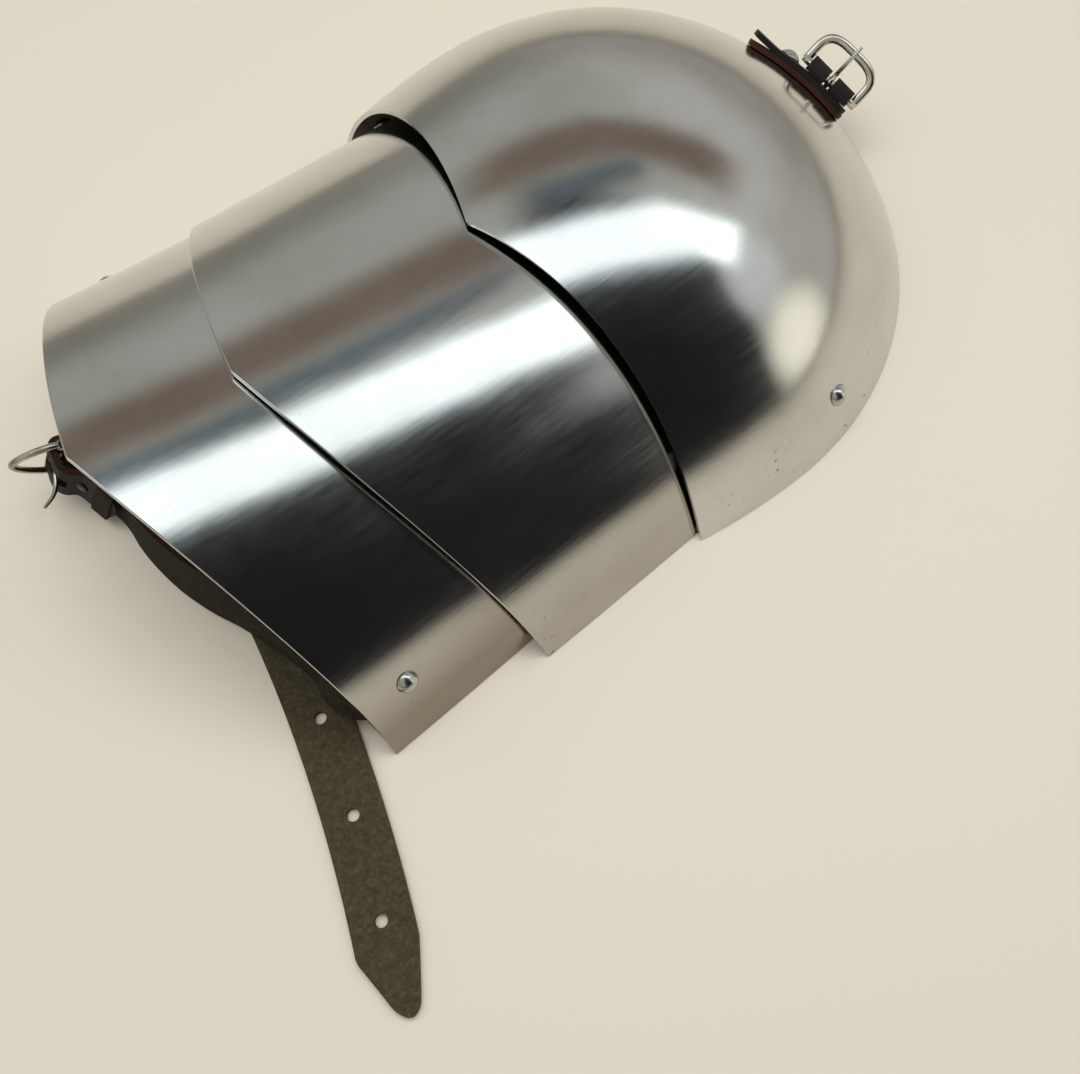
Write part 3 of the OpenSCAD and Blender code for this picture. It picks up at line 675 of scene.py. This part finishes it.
def smooth_path(points, count):
    """Even points on a smooth curve through a list of points."""
    fine = []
    last = len(points) - 1
    for i in range(last):
        p0, p1, p2, p3 = points[max(i - 1, 0)], points[i], points[i + 1], points[min(i + 2, last)]
        for k in range(12):
            t = k / 12
            fine.append(0.5 * (2 * p1 + (p2 - p0) * t + (2 * p0 - 5 * p1 + 4 * p2 - p3) * t * t
                               + (3 * p1 - p0 - 3 * p2 + p3) * t**3))
    fine.append(points[-1].copy())
    lengths = [0.0]
    for a, b in zip(fine, fine[1:]):
        lengths.append(lengths[-1] + (b - a).length)
    even = []
    j = 0
    for k in range(count + 1):
        want = lengths[-1] * k / count
        while j < len(lengths) - 2 and lengths[j + 1] < want:
            j += 1
        part = (want - lengths[j]) / max(lengths[j + 1] - lengths[j], 1e-9)
        even.append(fine[j].lerp(fine[j + 1], part))
    return even


def flat_path(points, count):
    """The same through (x, y) points in millimetres."""
    return smooth_path([Vector((x * MM, y * MM, 0)) for x, y in points], count)


def tangent(path, i):
    """Direction of a path at its point i."""
    return unit(path[min(i + 1, len(path) - 1)] - path[max(i - 1, 0)])


# %% [markdown]
# The articulation leathers carry the plates from inside. Each lies flat under its rivets
# and bends gently between them. Their ends are cut round.

# %% Articulation leathers
LEATHER_W = 16 * MM


def round_end(gone, left, half, tip):
    """Half width of a strip near its round ends: gone and left are the distances to them."""
    near = min(gone, left)
    return half if near >= tip else half * max(0.12, sqrt(max(0.0, 1 - (1 - near / tip) ** 2)))


def articulation(name, start, end, tail1, flat1, flat2, tail2):
    """A leather between two rivets' frames: tails beyond them, flats between them."""
    p1, n1 = start.translation, Vector(start.col[2][:3])
    p2, n2 = end.translation, Vector(end.col[2][:3])
    u1 = flat_to(p2 - p1, n1)
    u2 = flat_to(p2 - p1, n2)
    points = [p1 - u1 * tail1, p1 - u1 * tail1 * 0.4, p1, p1 + u1 * flat1, p2 - u2 * flat2, p2,
              p2 + u2 * tail2]
    path = smooth_path(points, 56)
    total = sum((b - a).length for a, b in zip(path, path[1:]))
    stations = []
    gone = 0.0
    for i, p in enumerate(path):
        gone += (p - path[i - 1]).length if i else 0.0
        mix = min(1, max(0, (gone / total - 0.25) / 0.5))
        t = tangent(path, i)
        n = flat_to(n1.lerp(n2, mix), t)
        half = round_end(gone, total - gone, LEATHER_W / 2, 7 * MM)
        stations.append((p, n.cross(t), n, half))
    return dress_strip(strip(name, stations, 1.9 * MM), stations, -1)


for word, side in SIDES:
    upper = articulation(f"{word}_upper_strip", on_dome(side, DOME_LEATHER_R),
                         on_middle(side, UP_LEATHER_R), 8 * MM, 7 * MM, 21 * MM, 6.5 * MM)
    stand_for(upper, f"{word}_upper_leather", inner_leather)
    lower = articulation(f"{word}_lower_strip", on_middle(side, LOW_LEATHER_R),
                         on_lower(side, LOW_PIVOT_R), 6.5 * MM, 11 * MM, 14.5 * MM, 6.5 * MM)
    stand_for(lower, f"{word}_lower_leather", inner_leather)

# %% [markdown]
# The billet is the long half of the arm strap. From its rivet inside the back corner it
# goes down the plate, turns under and lies on the table with its suede side up, curving a
# little to one side. Its path is a few arcs, written as formulas of the distance along it.

# %% The billet's path
STRAP_W = 18 * MM
STRAP_T = 2.4 * MM
BEND_R = 4.4 * MM
BEND_LOW = 2.9 * MM
TILT = radians(LOW_TILT)
BEND_Z = (BEND_LOW + LOW_DROP + STRAP_RIVET_X * sin(TILT)) / cos(TILT) + BEND_R
BEND_Y = sqrt((PAD_R - BEND_R) ** 2 - BEND_Z**2)
BEND_FROM = atan2(BEND_Z, BEND_Y)
HEADING = radians(8.5)
STRAIGHT = 92 * MM
CURVE_R = 460 * MM
HOLE_STEP = 30 * MM
HOLE_COUNT = 7
HOLE_R = 1.9 * MM
TIP_TO_HOLE = 26 * MM
FLAT_LEN = (HOLE_COUNT - 1) * HOLE_STEP + TIP_TO_HOLE + 14.5 * MM
FLAT_FROM = (LOW @ Vector((STRAP_RIVET_X, 0, 0))
             + Vector((BEND_Z * sin(TILT) - 1.9 * MM, BEND_Y - 21 * MM, 0)))


def billet_heading(s):
    return HEADING + max(0.0, s - STRAIGHT) / CURVE_R


def billet_at(s):
    d = min(s, STRAIGHT)
    e = billet_heading(s)
    return Vector((FLAT_FROM.x - d * sin(HEADING) - CURVE_R * (cos(HEADING) - cos(e)),
                   FLAT_FROM.y - d * cos(HEADING) - CURVE_R * (sin(e) - sin(HEADING)), STRAP_T / 2))


def billet_sides(s):
    """Middle and half width at s: the end is cut slantwise on one side, its point rounded."""
    left = FLAT_LEN - s
    low = -STRAP_W / 2 + 9.0 * MM * max(0.0, 1 - left / (17 * MM))
    high = STRAP_W / 2 - 3.8 * MM * max(0.0, 1 - left / (20 * MM))
    rounding = sqrt(max(0.0, 1 - (1 - min(1.0, left / (3.6 * MM))) ** 2))
    return (low + high) / 2, max(0.3 * MM, (high - low) / 2 * rounding)


def pad_station(up):
    place = on_lame(LOW, STRAP_RIVET_X, degrees(up), BACK, PAD_R)
    return place.translation, Vector(place.col[0][:3]), Vector(place.col[2][:3]), STRAP_W / 2


def bend_station(a):
    spin = LOW.to_3x3()
    middle = LOW @ Vector((STRAP_RIVET_X, BEND_Y + BEND_R * cos(a), BEND_Z + BEND_R * sin(a)))
    return middle, spin @ Vector((1, 0, 0)), spin @ Vector((0, cos(a), sin(a))), STRAP_W / 2


def flat_station(s):
    e = billet_heading(s)
    across = Vector((cos(e), -sin(e), 0))
    middle, half = billet_sides(s)
    return billet_at(s) + across * middle, across, Vector((0, 0, -1)), half


# %% [markdown]
# The stations crowd together at the point, where the outline turns fast. The holes are cut
# before the edges are rounded, so that their rims are rounded too.

# %% The billet
TAIL = 9 * MM
FLAT_STEPS = 110
TIP_FROM = 104
TIP_STEPS = 14
tail_up = radians(STRAP_RIVET_UP) + TAIL / PAD_R
stations = [pad_station(tail_up + (BEND_FROM - tail_up) * k / 14) for k in range(14)]
stations += [bend_station(BEND_FROM - (BEND_FROM + pi / 2) * k / 12) for k in range(13)]
bend_end, flat_start = stations[-1], flat_station(0)
heading = unit(flat_start[0] - bend_end[0])
for k in range(1, 10):
    t = k / 10
    way = bend_end[0].lerp(flat_start[0], t)
    way.z = bend_end[0].z + (flat_start[0].z - bend_end[0].z) * (3 * t * t - 2 * t**3)
    across = flat_to(unit(bend_end[1].lerp(flat_start[1], t)), heading)
    stations.append((way, across, heading.cross(across), STRAP_W / 2))
stations += [flat_station(FLAT_LEN * k / FLAT_STEPS) for k in range(TIP_FROM)]
for k in range(TIP_STEPS + 1):
    gone = (FLAT_STEPS - TIP_FROM) * (1 - (1 - k / TIP_STEPS) ** 2)
    stations.append(flat_station(FLAT_LEN * (TIP_FROM + gone) / FLAT_STEPS))
billet = strip("billet_strip", stations, STRAP_T)
holes = []
for k in range(HOLE_COUNT):
    place = Matrix.Translation(billet_at(FLAT_LEN - TIP_TO_HOLE - k * HOLE_STEP))
    bm = bmesh.new()
    bmesh.ops.create_cone(bm, cap_ends=True, segments=28, radius1=HOLE_R, radius2=HOLE_R, depth=8 * MM)
    holes.append(to_object("punch", bm, place))
cut(billet, holes)
dress_strip(billet, stations, -1)
stand_for(billet, "billet_strap", billet_leather)
print("flat run of the billet", round(FLAT_LEN / MM), "mm")

# %% [markdown]
# The buckle strap is the short half. It leaves its rivet inside the front corner, turns
# and stands on its edge, passes over the billet, and rises to the buckle. There it goes
# round the bar and back along itself, with a slot for the tongue.

# %% The buckle strap's path
LAYER_Y = -1.0 * MM
PAD_MID = at_strap(FRONT, PAD_R).translation
PAD_X = LOW.to_3x3() @ Vector((1, 0, 0))
TURN_R = 12 * MM
TURN_FROM = PAD_MID - PAD_X * 4.6 * MM
way = [(PAD_MID + PAD_X * TAIL, 30), (PAD_MID, 30), (TURN_FROM, 30)]
for a, lean in ((30, 30), (60, 29.5), (90, 29)):
    step = Vector((-TURN_R * sin(radians(a)), TURN_R * (1 - cos(radians(a))), -a / 22 * MM))
    way.append((TURN_FROM + step, lean))
for dx, y, edge, lean in ((5.0, -60, 5.6, 28), (2.2, -49, 4.4, 26), (-0.7, -40, 3.5, 25),
                          (-4.0, -31, 3.1, 23), (-8.6, -21, 2.3, 21), (-12.4, -10, 1.6, 19),
                          (-14.6, 1, 1.2, 17), (-15.4, 10, 1.2, 15.5)):
    height = edge * MM + STRAP_W / 2 * cos(radians(lean))
    way.append((Vector((LOW_X + dx * MM, y * MM, height)), lean))
for x in (-24, -9):
    way.append((ARM_BAR @ Vector((x * MM, LAYER_Y, 0)), ARM_LEAN))
UP = Vector((0, 0, 1))


def leaning(t, lean):
    """Direction across a strap that runs along t and leans by an angle to its right."""
    right = unit(t.cross(UP))
    return right.cross(t) * cos(radians(lean)) + right * sin(radians(lean))


# %% [markdown]
# Two parts make one strip: the standing run, whose lean changes along it, and the fold, which
# is a path in the bar's own frame. The slot for the tongue is cut with a box at the bar.

# %% The buckle strap
RUN_STEPS = 90
FOLD_STEPS = 60
END_R = 4 * MM
path = smooth_path([p for p, lean in way], RUN_STEPS)
leans = smooth_path([Vector((lean, 0, 0)) for p, lean in way], RUN_STEPS)
stations = []
for i, p in enumerate(path):
    t = tangent(path, i)
    across = leaning(t, leans[i].x)
    half = round_end((p - path[0]).length, 1.0, STRAP_W / 2, END_R)
    stations.append((p, across, across.cross(t), half))
FOLD_R = 2.58
fold = [(-6, -1.3), (-3.5, -2.0), (-1.6, -2.5)]
fold += [(FOLD_R * sin(radians(a)), -FOLD_R * cos(radians(a))) for a in range(0, 181, 20)]
fold += [(-2.2, 4.0), (-4.8, 5.0), (-7.4, 4.3), (-9.4, 2.3), (-11.2, 1.5), (-15, 1.4), (-19.5, 1.4),
         (-24, 1.45)]
fold_path = flat_path(fold, FOLD_STEPS)
spin = ARM_BAR.to_3x3()
across = spin @ UP
for i, p in enumerate(fold_path):
    half = round_end(1.0, (FOLD_STEPS - i) / 8 * END_R, STRAP_W / 2, END_R)
    stations.append((ARM_BAR @ p, across, across.cross(spin @ tangent(fold_path, i)), half))
buckle_strip = strip("buckle_strip", stations, 2.0 * MM)
bm = bmesh.new()
bmesh.ops.create_cube(bm, size=1)
bmesh.ops.scale(bm, vec=(13 * MM, 12 * MM, 5 * MM), verts=bm.verts)
cut(buckle_strip, [to_object("slot", bm, ARM_BAR @ shift(-1.2 * MM, 1.5 * MM, 0))])
dress_strip(buckle_strip, stations, 1)
stand_for(buckle_strip, "buckle_strap", buckle_leather)

# %% [markdown]
# The keeper is a band of the same leather round both layers: a ring with squared corners,
# pushed along the strap and thickened. Beside it a small black rivet closes the fold.

# %% The keeper and the fold's rivet
KEEPER_STEPS = 48
KEEPER_SQUARE = 0.28
KEEPER_W = 6 * MM
KEEPER_Y = LAYER_Y + 1.2 * MM


def squared(value, power):
    """A sine or cosine drawn towards 1 or -1, which fills a ring's corners."""
    return (1 if value > 0 else -1) * abs(value) ** power


bm = bmesh.new()
profile = []
for k in range(KEEPER_STEPS):
    a = 2 * pi * k / KEEPER_STEPS
    y = squared(cos(a), KEEPER_SQUARE) * 2.8 * MM
    z = squared(sin(a), KEEPER_SQUARE) * 9.7 * MM
    profile.append(bm.verts.new((-22 * MM, KEEPER_Y + y, z)))
edges = [bm.edges.new(pair) for pair in zip(profile, profile[1:] + profile[:1])]
pushed = bmesh.ops.extrude_edge_only(bm, edges=edges)
moved = [v for v in pushed["geom"] if isinstance(v, bmesh.types.BMVert)]
bmesh.ops.translate(bm, vec=(KEEPER_W, 0, 0), verts=moved)
face_out(bm)
keeper = thicken(to_object("keeper_loop", bm, ARM_BAR), 1.0 * MM, 0)
bar_x, bar_y = (Vector(c[:3]) for c in ARM_BAR.col[:2])
stations = [(ARM_BAR @ Vector((-19 * MM, KEEPER_Y, 0)), bar_x, bar_y, 0)]
dress_strip(keeper, stations, 1, 0.3 * MM)
stand_for(keeper, "strap_keeper", buckle_leather)
fold_seat = ARM_BAR @ shift(-11 * MM, LAYER_Y + 3.6 * MM, 0) @ turn("X", -90)
fold_profile = [(0, 0.9), (1.0, 0.8), (1.8, 0.45), (2.2, 0.02), (1.3, 0), (1.3, -4.9), (2.3, -5.0),
                (2.3, -5.5), (1.4, -5.6), (0, -5.6)]
stand_for(to_object("fold_rivet_pin", spun(fold_profile, fold_seat, 28)), "fold_rivet", dark_steel)

# %% [markdown]
# ## Buckles
# Frames, bars and tongues are all wire. A curve with a bevel could make it; here a circle is
# carried along the path and its rings are bridged, so that the wire can be flattened.

# %% Wire
def wire(name, place, path, radius, sides, squash=1.0):
    """Round or flattened wire along a path of points in a frame; radius is one or a list."""
    bm = bmesh.new()
    rings = []
    for i, p in enumerate(path):
        t = tangent(path, i)
        side = unit(t.cross(Vector((0, 1, 0)))) if abs(t.y) < 0.99 else Vector((0, 0, 1))
        r = radius[i] if isinstance(radius, list) else radius
        basis = Matrix((side, t.cross(side), t)).transposed().to_4x4()
        turned = Matrix.Translation(p) @ basis @ Matrix.Diagonal((1, squash, 1, 1))
        rings.append(bmesh.ops.create_circle(bm, segments=sides, radius=r, matrix=turned)["verts"])
    for a, b in zip(rings, rings[1:]):
        edges = {e for v in a + b for e in v.link_edges}
        edges = [e for e in edges if all(v in a for v in e.verts) or all(v in b for v in e.verts)]
        bmesh.ops.bridge_loops(bm, edges=edges)
    bmesh.ops.contextual_create(bm, geom=rings[0])
    bmesh.ops.contextual_create(bm, geom=rings[-1])
    face_out(bm)
    return to_object(name, bm, place)


def join(*objects):
    """Joins objects into the first one's mesh."""
    bm = bmesh.new()
    for obj in objects:
        bm.from_mesh(obj.data)
    first = objects[0]
    for obj in objects[1:]:
        bpy.data.objects.remove(obj, do_unlink=True)
    bm.to_mesh(first.data)
    bm.free()
    first.data.shade_smooth()
    return first


# %% [markdown]
# A frame is a D with soft corners on a straight bar. A tongue has an eye bent round the bar,
# a slight arch and a tapered end.

# %% Frames and tongues
def buckle_frame(name, place, inside, depth, bar_r, band, square, start, flat):
    """A D of wire in the frame's XZ plane round a bar along Z, in millimetres.

    square below 1 fills its corners, start is the share of its depth at which its curve
    begins, and flat is the band's thickness against its width.
    """
    half = inside / 2 + band / 2
    curve = depth * (1 - start)
    outline = [(0, -half)]
    for a in range(-90, 91, 10):
        ca, sa = max(cos(radians(a)), 0.0), sin(radians(a))
        outline.append((depth - curve + curve * ca**square, half * squared(sa, square)))
    outline += [(0, half)]
    path = smooth_path([Vector((x * MM, 0, z * MM)) for x, z in outline], 70)
    rim = wire(name, place, path, band / 2 * MM, 16, flat)
    ends = half + band * 0.35
    bar_path = [Vector((0, 0, z * MM)) for z in (-ends, -half / 2, 0, half / 2, ends)]
    return join(rim, wire(name + "_bar", place, bar_path, bar_r * MM, 20))


TONGUE_R = 0.75


def tongue(name, place, reach, bar_r, arch):
    """A tongue along the frame's X with its eye round the bar, in millimetres."""
    eye = bar_r + 0.08 + TONGUE_R
    points = [(eye * cos(radians(a)), -eye * sin(radians(a))) for a in range(-40, 281, 20)]
    points += [(eye + 1.0, 0.9), (eye + 3, 0.5)]
    run = reach - eye - 3
    points += [(eye + 3 + run * k / 8, 0.5 - arch * sin(pi * k / 8)) for k in range(1, 9)]
    path = flat_path(points, 90)
    sizes = [TONGUE_R * MM * (1.0 if k < 70 else 1.0 - 0.35 * (k - 70) / 20) for k in range(91)]
    return wire(name, place, path, sizes, 12)


# %% [markdown]
# Frames and tongues hang loose on their bars, so each one's frame is the bar's, turned to
# the angle at which the piece lies.

# %% The two buckles
arm_frame = buckle_frame("arm_buckle_wire", ARM_BAR @ turn("Z", 57), inside=18.8, depth=13.7,
                         bar_r=1.5, band=1.8, square=1.3, start=0.05, flat=1.25)
stand_for(arm_frame, "arm_buckle_frame", arm_buckle_metal)
arm_tongue = tongue("arm_tongue_wire", ARM_BAR @ turn("Z", 117), reach=17, bar_r=1.5, arch=-1.4)
stand_for(arm_tongue, "arm_buckle_tongue", arm_buckle_metal)
neck_frame = buckle_frame("neck_buckle_wire", NECK_BAR, inside=18.2, depth=11.2, bar_r=1.3, band=2.9,
                          square=0.6, start=0.3, flat=0.62)
stand_for(neck_frame, "neck_buckle_frame", neck_buckle_metal)
neck_tongue = tongue("neck_tongue_wire", NECK_BAR @ turn("Z", -14), reach=14.2, bar_r=1.3, arch=0.6)
stand_for(neck_tongue, "neck_buckle_tongue", neck_buckle_metal)

# %% [markdown]
# ## The neck tab
# A short strip, doubled: both layers lie on the dome under one rivet, the upper one lifts
# at its free end, and towards the other end it is rolled round the buckle's bar. Each layer
# is a strip on a ball a little larger than the dome.

# %% The neck tab
TAB_HALF = 8 * MM
TAB_LEN = 39
TAB_BACK = 14
TAB_STEPS = 60
LIFT_FROM = -4 * MM


def ball_station(x, r, half, lift=0.0):
    """A station of a strip that follows a ball of radius r round the dome's centre."""
    a = x / r
    spin = NECK.to_3x3()
    middle = NECK @ Vector((r * sin(a), 0, r * cos(a) + lift))
    return middle, spin @ Vector((0, 1, 0)), spin @ Vector((sin(a), 0, cos(a))), half


lower_layer, upper_layer = [], []
for k in range(TAB_STEPS + 1):
    x = (-TAB_BACK + TAB_LEN * k / TAB_STEPS) * MM
    half = round_end(x + TAB_BACK * MM, (TAB_LEN - TAB_BACK) * MM - x, TAB_HALF, 3 * MM)
    lower_layer.append(ball_station(x, TAB_R + 0.9 * MM, half))
    lift = 0.0 if x > LIFT_FROM else 1.7 * MM * ((LIFT_FROM - x) / (10 * MM)) ** 1.3
    upper_layer.append(ball_station(x, TAB_R + 2.72 * MM, half, lift))
layers = []
for word, stations, flesh, raw in (("lower", lower_layer, 1, 0.9), ("upper", upper_layer, -1, 0.1)):
    layer = strip(f"tab_{word}_layer", stations, 1.75 * MM)
    for vert in layer.data.vertices:
        flat = NECK.inverted() @ vert.co
        flat.z -= flat.y**2 / (2 * TAB_R)
        vert.co = NECK @ flat
    layers.append(dress_strip(layer, stations, flesh, 0.35 * MM, raw))

# %% [markdown]
# The roll round the bar is two short strips, one on each side of the tongue. Their path is a
# half circle with wings that run into the layers. All four strips become one piece.

# %% The tab's roll and its rivet
ROLL_R = 2.23
ROLL_HALF = 8.7 * MM
SLOT_HALF = 1.5 * MM
wing = [(-1.45, 7.6), (-1.3, 5.6), (-1.25, 3.6), (-0.9, 2.5)]
roll = wing + [(ROLL_R * sin(radians(a)), ROLL_R * cos(radians(a))) for a in range(0, 181, 20)]
roll += [(x, -y) for x, y in reversed(wing)]
roll_path = flat_path(roll, 50)
spin = NECK_BAR.to_3x3()
across = spin @ UP
for word, end in (("near", -1), ("far", 1)):
    stations = []
    for i, p in enumerate(roll_path):
        middle = NECK_BAR @ (p + Vector((0, 0, end * (ROLL_HALF + SLOT_HALF) / 2)))
        normal = across.cross(spin @ tangent(roll_path, i))
        stations.append((middle, across, normal, (ROLL_HALF - SLOT_HALF) / 2))
    rolled = strip(f"tab_{word}_roll", stations, 1.6 * MM, 6)
    layers.append(dress_strip(rolled, stations, -1, 0.35 * MM, 0.2))
stand_for(join(*layers), "neck_tab", tab_leather)
NECK_STACK = (TAB_R - DOME_R + 2 * TAB_T + SHEET + BURR_SEAT) / MM + 1
neck_head = rivet("neck_rivet_head", NECK @ shift(0, 0, TAB_R + 2 * TAB_T), 2.0, NECK_STACK + 0.5, 5.0)
stand_for(neck_head, "neck_tab_rivet", rivet_steel)
neck_burr = burr("neck_burr_ring", NECK @ shift(0, 0, DOME_R - SHEET - BURR_SEAT), 3)
stand_for(neck_burr, "neck_tab_burr", burr_steel)

# %% [markdown]
# ## Table, light and camera
# The plates mirror everything, so the light is built from what they mirror. First comes a
# plain pale table, so wide that its edge never shows in the steel.

# %% The table
TABLE_HALF = 8.0
bm = bmesh.new()
bmesh.ops.create_grid(bm, x_segments=2, y_segments=2, size=TABLE_HALF)
floor = to_object("table_top", bm, shift(0, 0, -0.05 * MM))
paint, tree, shader, _ = new_material("table paint")
fill(tree, shader, Base_Color=(0.80, 0.73, 0.63), Roughness=0.7)
floor.data.materials.append(paint)

# %% [markdown]
# Walls and furniture could be modelled, but a world shader that goes by direction is lighter
# and easier to tune. The room is a quiet grey, paler on the neck side and darker low down,
# with a nearly black wall on the front side for the dark band below the highlight. A brown
# streak, a small blue smear and three soft patches stand for what else is in it.

# %% The room
world = bpy.data.worlds.new("room")
bpy.context.scene.world = world
world.use_nodes = True
room = world.node_tree
room.nodes.clear()
sky = add(room, "TexCoord").outputs["Generated"]


def sky_at(x, y):
    """The direction that lies x and y degrees from straight up, towards +X and +Y."""
    away = sqrt(x * x + y * y)
    side = sin(radians(away)) / away
    return Vector((x * side, y * side, cos(radians(away))))


def facing(direction):
    """How far a place in the room agrees with a direction, as a cosine."""
    node = room.nodes.new("ShaderNodeVectorMath")
    node.operation = "DOT_PRODUCT"
    feed(room, node.inputs[0], sky)
    feed(room, node.inputs[1], direction)
    return node.outputs["Value"]


def fade(value, start, end):
    """0 at start and 1 at end, with soft shoulders."""
    node = add(room, "MapRange", Value=value, From_Min=start, From_Max=end)
    node.interpolation_type = "SMOOTHSTEP"
    return node.outputs["Result"]


def patch(x, y, inner, outer):
    """A round soft patch of the room, its sizes in degrees."""
    return fade(facing(sky_at(x, y)), cos(radians(outer)), cos(radians(inner)))


def streak(start, end, half, soft):
    """A long soft patch of the room between two directions, its half width in degrees."""
    side = start.cross(end).normalized()
    off = maths(room, "ABSOLUTE", facing(side))
    middle = (start + end).normalized()
    reach = acos(start.dot(end)) / 2
    inside = fade(facing(middle), cos(reach + radians(soft)), cos(reach - radians(soft)))
    beside = fade(off, sin(radians(half + soft)), sin(radians(half)))
    return times(room, beside, inside)


# %% [markdown]
# The tones are laid over one another, from the walls up, each where its own patch says.

# %% The room's tones
height = facing((0, 0, 1))
to_neck = facing((1, 0, 0))
low_walls = mixed(room, fade(to_neck, 0.15, 0.6), (0.25, 0.25, 0.22), (0.37, 0.36, 0.33))
right_of_shade = fade(facing((0.906, 0.332, -0.262)), 0.14, 0.015)
left_of_shade = fade(facing((-0.894, 0.441, -0.078)), 0.12, -0.10)
tone = mixed(room, fade(to_neck, 0.35, 0.85), (0.43, 0.443, 0.413), (0.585, 0.575, 0.555))
for where, colour in (
        (streak(sky_at(3, 43), sky_at(51, -3), 3.5, 8), (0.21, 0.16, 0.128)),
        (fade(height, 0.46, 0.10), low_walls),
        (patch(74, -40, 8, 32), (0.52, 0.50, 0.46)),
        (times(room, right_of_shade, left_of_shade), (0.012, 0.012, 0.014)),
        (streak(sky_at(9, 22.5), sky_at(27, 9.5), 1.8, 3), (0.115, 0.15, 0.175)),
        (patch(42, -36, 3, 16), (0.74, 0.78, 0.78)),
        (patch(54, -60, 3, 17), (1.32, 1.27, 1.09)),
        (fade(height, 0.03, 0.0), (0.30, 0.285, 0.25))):
    tone = mixed(room, where, tone, colour)
background = add(room, "Background", Color=tone, Strength=1.0)
add(room, "OutputWorld", Surface=background.outputs["Background"])
print("room of", len(room.nodes), "nodes")

# %% [markdown]
# The white band is a strip light. Each plate mirrors a near lamp from its own side, so it is
# a real lamp at a real height and not a tone of the room. A fainter, larger one round it
# softens its edge. The fill lights table and leather, and the steel doesn't mirror it.

# %% The lamps
def panel(name, position, heading, size, brightness, colour, in_gloss=True):
    """A soft rectangular lamp over the object, its long side turned by a heading in degrees."""
    lamp = bpy.data.lights.new(name, "AREA")
    lamp.shape = "RECTANGLE"
    lamp.size, lamp.size_y = size
    lamp.energy = pi * size[0] * size[1] * brightness
    lamp.color = colour
    obj = bpy.data.objects.new(name, lamp)
    bpy.context.scene.collection.objects.link(obj)
    back_way = unit(Vector(position))
    along = flat_to(Vector((cos(radians(heading)), sin(radians(heading)), 0)), back_way)
    turned = Matrix((along, back_way.cross(along), back_way)).transposed().to_4x4()
    obj.matrix_world = Matrix.Translation(position) @ turned
    obj.visible_glossy = in_gloss
    print(f"{name}: {size[0]} by {size[1]} m")


STRIP_AT = (0.024, 0.008, 0.62)
panel("strip light", STRIP_AT, -36, (1.31, 0.175), 1.75, (0.88, 0.97, 1.0))
panel("strip light edge", STRIP_AT, -36, (1.45, 0.232), 0.5, (0.80, 0.95, 1.0))
panel("fill", (0.0, 0.0, 1.2), 0, (1.0, 1.0), 2.6, (1.0, 0.96, 0.91), False)

# %% [markdown]
# The camera looks down from the front of the arm side, a third of a metre above the table.
# Its axes are written out, so no constraint has to turn it. The Standard view transform
# shows the tones as they are lit.

# %% The camera
camera = bpy.data.cameras.new("camera")
camera.sensor_width = 36
camera.lens = 40
camera.clip_start = 0.01
eye = bpy.data.objects.new("camera", camera)
bpy.context.scene.collection.objects.link(eye)
right = Vector((0.79028673, -0.60987887, -0.05911555))
up = Vector((0.58575705, 0.72365093, 0.36499043))
back_ward = Vector((-0.17982093, -0.32307445, 0.92913257))
eye.matrix_world = (Matrix.Translation(Vector((-103.66, -183.38, 341.60)) * MM)
                    @ Matrix((right, up, back_ward)).transposed().to_4x4())
bpy.context.scene.camera = eye
bpy.context.scene.view_settings.view_transform = "Standard"
print("camera with a lens of", camera.lens, "mm")
